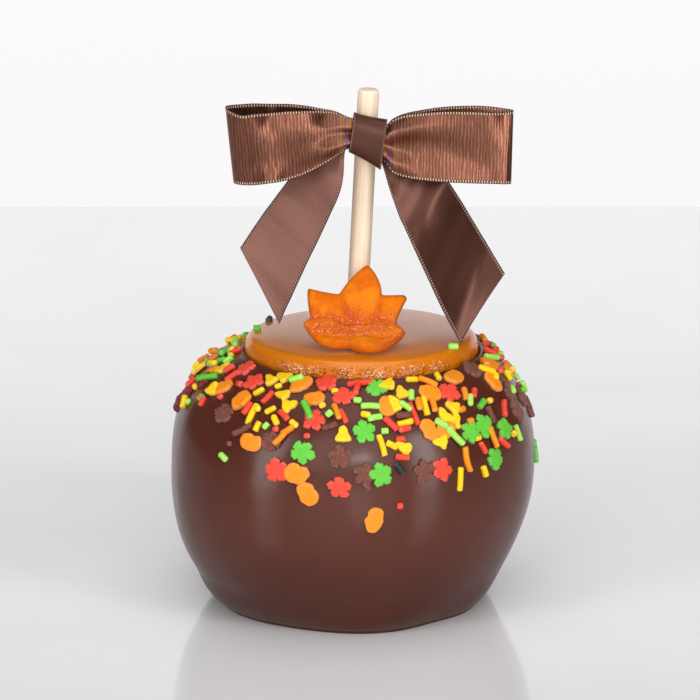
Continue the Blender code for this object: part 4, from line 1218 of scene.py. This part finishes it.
def near_lines(point, lines):
    """The depth of the deepest of the lines at a place on the leaf, which falls to 0 away from a line."""
    depths = [0.0]
    for places, depth, width in lines:
        for start, end in zip(places, places[1:]):
            start, end = Vector(start) * MM, Vector(end) * MM
            side = end - start
            share = min(max((point - start).dot(side) / side.length_squared, 0.0), 1.0)
            apart = (point - start - side * share).length / (width * MM)
            depths.append(depth * math.exp(-(apart**2)))
    return max(depths)


def leaf_height(share, groove, crease):
    """Height of the puffed front, from the leaf's middle (share 0) to its edge (share 1)."""
    puffed = LEAF_THICKNESS * (LEAF_EDGE + (1 - LEAF_EDGE) * (1 - share**LEAF_PUFF) ** 0.5)
    return puffed - LEAF_GROOVE * groove * (1 - share**4) - LEAF_CREASE * crease


def leaf_spine(along, steps=40):
    """How far back and up a place along the bent leaf lies from its middle, and the leaf's angle there."""

    def angle_at(place):
        bend = smooth((place - LEAF_BEND_START) / LEAF_BEND_LENGTH)
        return LEAF_FOOT_ANGLE + (LEAF_TOP_ANGLE - LEAF_FOOT_ANGLE) * bend

    angles = [angle_at(along * (i + 0.5) / steps) for i in range(steps)]
    back = sum(math.cos(angle) for angle in angles) * along / steps
    up = sum(math.sin(angle) for angle in angles) * along / steps
    return back, up, angle_at(along)


def bent(point):
    """Where a place on the flat leaf lies once the leaf bends up and back."""
    back, up, angle = leaf_spine(point.y)
    return Vector((point.x, back - math.sin(angle) * point.z, up + math.cos(angle) * point.z))


def leaf_dust(point, groove):
    """How thickly the pale sugar lies: low down, in the middle, on the right and in grooves, in patches."""
    x, y = point.x / MM, point.y / MM
    low = smooth((1.9 - y) / 3.0) * smooth((y + 7.4 - 0.028 * x * x) / 1.4)
    middle = math.exp(-(((x - 0.6) / 5.0) ** 2) - ((y - 1.6) / 3.2) ** 2)
    right = 0.7 * smooth((x - 5.0) / 6.0) * smooth((6.0 - y) / 4.0)
    valley = 0.9 * groove * smooth((8.5 - y) / 4.0)
    patch = 0.55 + 0.8 * noise.noise(point.to_3d() / DUST_PATCH)
    return min(1.0, max(low, right, middle, valley)) * min(max(0.4 + 0.6 * patch, 0.0), 1.0)


def leaf_point(flat, share, puff):
    """A place on the leaf's front (puff 1) or back (puff 0), and its groove, dust and rim marks."""
    groove, crease = near_lines(flat, LEAF_GROOVES), near_lines(flat, LEAF_CREASES)
    dust = leaf_dust(flat, groove)
    height = leaf_height(share, groove, crease) * puff
    grain = noise.noise(Vector((*flat, height)) / SUGAR_SIZE) + 0.6 * noise.noise(flat.to_3d() / SUGAR_FINE)
    grain *= SUGAR_HEIGHT * (0.5 + dust) * (puff > 0.5)
    to_right = smooth((flat.x / MM - 6.0) / 7.0)
    rim = smooth((share - LEAF_RIM_START) / (1 - LEAF_RIM_START)) * (0.4 + 0.6 * to_right) * puff
    return bent(Vector((*flat, height + grain))), max(groove, crease) * puff, dust, rim


def make_leaf():
    """The puffed leaf, bent up and back, with its lowest point just over the caramel."""
    outline = leaf_outline()
    rows = [*LEAF_BACK_ROWS, *((i / LEAF_RINGS, 1.0) for i in range(LEAF_RINGS, 0, -1))]
    made = [leaf_point(p * share, share, puff) for share, puff in rows for p in outline]
    middle = Vector((0, 0))
    for height in (0.0, leaf_height(0.0, near_lines(middle, LEAF_GROOVES), 0.0)):
        made.append((bent(Vector((0, 0, height))), 0.5, leaf_dust(middle, 0.5), 0.0))
    points, grooves, dusts, rims = zip(*made)
    lift = CAP_TOP + TOUCHING_GAP - min(p.z for p in points)
    points = [p + Vector((*LEAF_MIDDLE, lift)) for p in points]
    piece = turned_piece("sugar_leaf", points, len(rows), len(outline), leaf_sugar())
    mark_points(piece, "groove", grooves)
    mark_points(piece, "dust", dusts)
    mark_points(piece, "rim", rims)
    return piece


# The bow


def bow_middle():
    """The knot's middle, in front of the stick."""
    return stick_axis(BOW_HEIGHT) + Vector((BOW_RIGHT, -BOW_FORWARD, 0))


def curves_at(rows, place):
    """Numbers at a place, on smooth curves through a table whose rows each begin with their place."""
    i = sum(row[0] <= place for row in rows[1:-1])
    before, first, second, after = rows[max(i - 1, 0)], rows[i], rows[i + 1], rows[min(i + 2, len(rows) - 1)]
    reach = second[0] - first[0]
    s = (place - first[0]) / reach
    found = []
    for a, b, c, d in zip(before[1:], first[1:], second[1:], after[1:]):
        leave = (c - a) / (second[0] - before[0]) * reach
        arrive = (d - b) / (after[0] - first[0]) * reach
        bend = leave * (s**3 - 2 * s**2 + s) + arrive * (s**3 - s**2)
        found.append(b + (c - b) * (3 * s**2 - 2 * s**3) + bend)
    return found


def gathered(distance, length):
    """1 in the band, falling to 0 where the ribbon has its full width."""
    return 1 - smooth(max(distance - PINCH_START, 0.0) / length)


def ridges(across, gather):
    """How high a place is on the gathered ribbon's two ridges, from 0 to 1."""
    return gather * (0.5 - 0.5 * math.cos(4 * math.pi * across / RIBBON_WIDTH))


def loop_point(side, share, across):
    """A place on a loop, which runs out along the front, round its end and back along the rear."""
    turn = math.pi * share
    out = (LOOP_LENGTHS[side] + LOOP_SLANTS[side] * 2 * across / RIBBON_WIDTH) * math.sin(turn) ** 0.8
    low, high, rear_rise = curves_at(LOOP_EDGES[side], out / MM)
    depth = -LOOP_DEPTHS[side] * math.sin(2 * turn)
    if share > 0.5:
        high += rear_rise
    else:
        depth -= PLEAT * ridges(across, gathered(out, PINCH_LENGTHS[side])) * smooth(out / PLEAT_START)
    return Vector((side * out, depth, (low + (high - low) * (across / RIBBON_WIDTH + 0.5)) * MM))


def tail_spine(side, share):
    """A place on the middle line of a tail, and the way it runs there."""
    start, end = TAIL_STARTS[side], TAIL_ENDS[side]
    reach = (end - start).length
    out, into = TAIL_START_WAYS[side] * reach, TAIL_END_WAYS[side] * reach
    s, s2, s3 = share, share**2, share**3
    place = start + (end - start) * (3 * s2 - 2 * s3) + out * (s3 - 2 * s2 + s) + into * (s3 - s2)
    way = (end - start) * (6 * s - 6 * s2) + out * (3 * s2 - 4 * s + 1) + into * (3 * s2 - 2 * s)
    return place, way.normalized()


def tail_point(side, share, across):
    """A place on a tail, from the band to its slanting cut, which leaves the inner edge the longer one."""
    reach = (TAIL_ENDS[side] - TAIL_STARTS[side]).length
    inner = -2 * across / RIBBON_WIDTH
    place, way = tail_spine(side, share * (1 + inner * TAIL_SLANTS[side] / reach))
    outward = way.cross(Vector((0, side, 0))).normalized()
    early, late = TAIL_TWISTS[side]
    twist = math.radians(early + (late - early) * share) * smooth(2.5 * share)
    outward = Quaternion(way, twist) @ outward
    gather = gathered(share * reach, TAIL_PINCH_LENGTHS[side])
    rise = across * (1 - (1 - TAIL_PINCHES[side]) * gather)
    return place + outward * rise - Vector((0, TAIL_PLEAT * ridges(across, gather), 0))


def creased_loop(side, share, across):
    """A loop with the soft creases that fan out from the band, and with the leans that catch the light."""
    place = loop_point(side, share, across)
    out = abs(place.x)
    near = out / CREASE_REACH
    fan = math.atan2(place.z + CREASE_START.y, out + CREASE_START.x)
    fade = near * math.exp(1 - near) * smooth((LOOP_LENGTHS[side] - out) / CREASE_END)
    drawn = math.sin(8.5 * fan + LOOP_PHASES[side]) + 0.22 * math.sin(3.2 * near + 19.0 * fan)
    way = -1 if share < 0.5 else 1
    turned = curves_at(LOOP_TURNS[side], min(out / LOOP_LENGTHS[side], 1.0))[0] * across
    return place + Vector((0, way * CREASE * fade * drawn - turned, turned * TURN_RISE))


def creased_tail(side, share, across):
    """A tail that leans to and fro, with soft folds that run slantwise over it."""
    place = tail_point(side, share, across)
    reach = (TAIL_ENDS[side] - TAIL_STARTS[side]).length
    turn = 2 * math.pi * (share * reach + 0.25 * side * across) / TAIL_CREASE_LENGTH
    drawn = math.sin(turn + TAIL_PHASES[side]) + 0.4 * math.sin(2.2 * turn)
    fade = smooth(5 * share) * (1 - 0.5 * share)
    turned = curves_at(TAIL_TURNS[side], share)[0] * across
    return place - Vector((0, TAIL_CREASES[side] * fade * drawn + turned, -turned * TURN_RISE))


def strips_of_cloth(name, strips, look):
    """Strips of ribbon as one mesh, its points' places on the flat ribbon, and the strips' whole length.

    Each strip is a function, which gives the place of a share and an across, and the shares of its rows.
    """
    points, faces, flat = [], [], []
    total = 0.0
    for place, shares in strips:
        faces += sheet_faces(len(shares) - 1, RIBBON_COLUMNS, len(points))
        before = place(shares[0], 0.0)
        run = 0.0
        for share in shares:
            middle = place(share, 0.0)
            run += (middle - before).length
            before = middle
            for j in range(RIBBON_COLUMNS + 1):
                across = RIBBON_WIDTH * (j / RIBBON_COLUMNS - 0.5)
                points.append(place(share, across))
                flat.append((run, across))
        total += run
    return new_piece(name, points, faces, look), flat, total


def finish_cloth(piece, flat, thickness):
    """Gives a piece of ribbon its UV map, in millimetres, its place and its thickness."""
    corners = [flat[loop.vertex_index] for loop in piece.data.loops]
    layer = piece.data.uv_layers.new(name="cloth")
    layer.data.foreach_set("uv", [v / MM for corner in corners for v in corner])
    piece.location = bow_middle()
    solidify = piece.modifiers.new("Thickness", "SOLIDIFY")
    solidify.thickness = thickness
    solidify.offset = 0.0


def make_ribbon():
    """The ribbon's two loops and two tails, and their true length."""
    eased = [0.5 - 0.5 * math.cos(math.pi * i / LOOP_STEPS) for i in range(LOOP_STEPS + 1)]
    loops = [LOOP_END + (1 - 2 * LOOP_END) * share for share in eased]
    tails = [i / TAIL_STEPS for i in range(TAIL_STEPS + 1)]
    strips = []
    for side in (-1, 1):
        strips.append((partial(creased_loop, side), loops))
        strips.append((partial(creased_tail, side), tails))
    piece, flat, total = strips_of_cloth("ribbon", strips, satin("satin", "satin", "bright satin", True))
    finish_cloth(piece, flat, RIBBON_THICKNESS)
    ribs, lit_tail = [], []
    for number, (_, shares) in enumerate(strips):
        count = len(shares) * (RIBBON_COLUMNS + 1)
        ribs += [float(shares is loops)] * count
        # the left tail is marked for its painted lighter colour
        lit_tail += [float(number == LIT_TAIL_STRIP)] * count
    golden = [1 - smooth((abs(vertex.co.x) - SHEEN_START) / SHEEN_FADE) for vertex in piece.data.vertices]
    mark_points(piece, "ribs", ribs)
    mark_points(piece, "sheen", [rib * gold for rib, gold in zip(ribs, golden)])
    mark_points(piece, "lit_tail", lit_tail)
    return piece, total


def band_place(x, turn, inset):
    """A place on the band, at a turn round it, some way in from its outside."""
    depth = math.copysign(abs(math.cos(turn)) ** BAND_SQUARE, math.cos(turn))
    rise = math.copysign(abs(math.sin(turn)) ** BAND_SQUARE, math.sin(turn))
    height = BAND_HALF_HEIGHT * (1 + BAND_FLARE * x / BAND_WIDTH) - inset
    return Vector((x, (BAND_HALF_DEPTH - inset) * depth, height * rise - BAND_SHEAR * x))


def make_band():
    """The knot's band: a closed strip round the bow's middle, slightly hollow between its edges."""
    points, flat = [], []
    for j in range(BAND_COLUMNS + 1):
        x = BAND_WIDTH * (j / BAND_COLUMNS - 0.5)
        inset = BAND_THICKNESS / 2 + BAND_HOLLOW * math.cos(math.pi * x / BAND_WIDTH)
        before = band_place(x, 0.0, inset)
        run = 0.0
        for i in range(BAND_STEPS + 1):
            place = band_place(x, 2 * math.pi * i / BAND_STEPS, inset)
            run += (place - before).length
            before = place
            points.append(place)
            flat.append((run, x / BAND_WIDTH * RIBBON_WIDTH))
    look = satin("band_satin", "band satin", "bright band satin", False)
    piece = new_piece("knot_band", points, sheet_faces(BAND_COLUMNS, BAND_STEPS), look)
    finish_cloth(piece, flat, BAND_CLOTH)
    piece.rotation_euler = (0, -BAND_TILT, 0)
    return piece


# The stage, the lights and the camera


def stage_rectangle(name, corners, look):
    """A flat piece of the studio, which is no part of the object."""
    new_piece(name, corners, [(0, 1, 2, 3)], look)


def make_floor():
    """A pale polished table whose far edge lies a little behind the apple."""
    ends = ((-1, -FLOOR_FRONT), (1, -FLOOR_FRONT), (1, FLOOR_BACK), (-1, FLOOR_BACK))
    stage_rectangle("floor", [(way * FLOOR_SIDE, place, 0) for way, place in ends], floor_look())


def make_backdrop():
    """A white wall behind the table, dimmer towards its top, which the caramel and the table mirror."""
    low, high = BACKDROP_HEIGHTS
    ends = ((-1, low), (1, low), (1, high), (-1, high))
    places = [(way * BACKDROP_SIDE, BACKDROP_PLACE, height) for way, height in ends]
    stage_rectangle("backdrop", places, backdrop_look())


def aimed(made, target, azimuth, elevation, distance):
    """Puts a light or a camera round a target, which it looks at. Azimuth 0 is in front, and 90 is right."""
    level = math.cos(elevation)
    way = Vector((math.sin(azimuth) * level, -math.cos(azimuth) * level, math.sin(elevation)))
    made.location = target + way * distance
    made.rotation_euler = (-way).to_track_quat("-Z", "Y").to_euler()
    bpy.context.scene.collection.objects.link(made)


def area_light(name, azimuth, elevation, distance, size, power):
    """A rectangular soft light that aims at the apple."""
    light = bpy.data.lights.new(name, "AREA")
    light.shape = "RECTANGLE"
    light.size, light.size_y = size
    light.energy = power
    made = bpy.data.objects.new(name, light)
    aimed(made, LIGHT_TARGET, math.radians(azimuth), math.radians(elevation), distance)


def make_lights():
    for light in LIGHTS:
        area_light(*light)
    world = bpy.data.worlds.new("studio")
    bpy.context.scene.world = world
    world.use_nodes = True
    sky = world.node_tree.nodes["Background"]
    sky.inputs["Color"].default_value = (*WORLD_COLOUR, 1.0)
    sky.inputs["Strength"].default_value = WORLD_STRENGTH


def make_camera():
    """The photograph's view, from straight in front and a little above."""
    camera = bpy.data.cameras.new("camera")
    camera.sensor_width = SENSOR_WIDTH
    camera.lens = SENSOR_WIDTH * PIXELS_PER_MM / MM * CAMERA_DISTANCE / PICTURE_WIDTH
    camera.clip_start, camera.clip_end = CAMERA_CLIP
    made = bpy.data.objects.new("camera", camera)
    aimed(made, CAMERA_TARGET, 0.0, CAMERA_ELEVATION, CAMERA_DISTANCE)
    bpy.context.scene.camera = made


def dress(piece, node):
    """Puts a piece in the place of its CAD node."""
    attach(piece, "root")
    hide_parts(node)


def main():
    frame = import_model()

    dress(make_chocolate(), "chocolate_apple")
    for piece in make_sprinkles():
        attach(piece, "root")
    dress(make_cap(), "caramel_cap")
    dress(make_stick(), "stick")
    dress(make_leaf(), "maple_leaf")
    ribbon, length = make_ribbon()
    dress(ribbon, "bow_ribbon")
    band = make_band()
    dress(band, "bow_band")
    tie = frame["nodes"]["bow_tie"]
    tie.data.materials.clear()
    tie.data.materials.append(clear_plastic())

    make_floor()
    make_backdrop()
    make_lights()
    make_camera()
    bpy.context.scene.view_settings.view_transform = "Standard"


main()
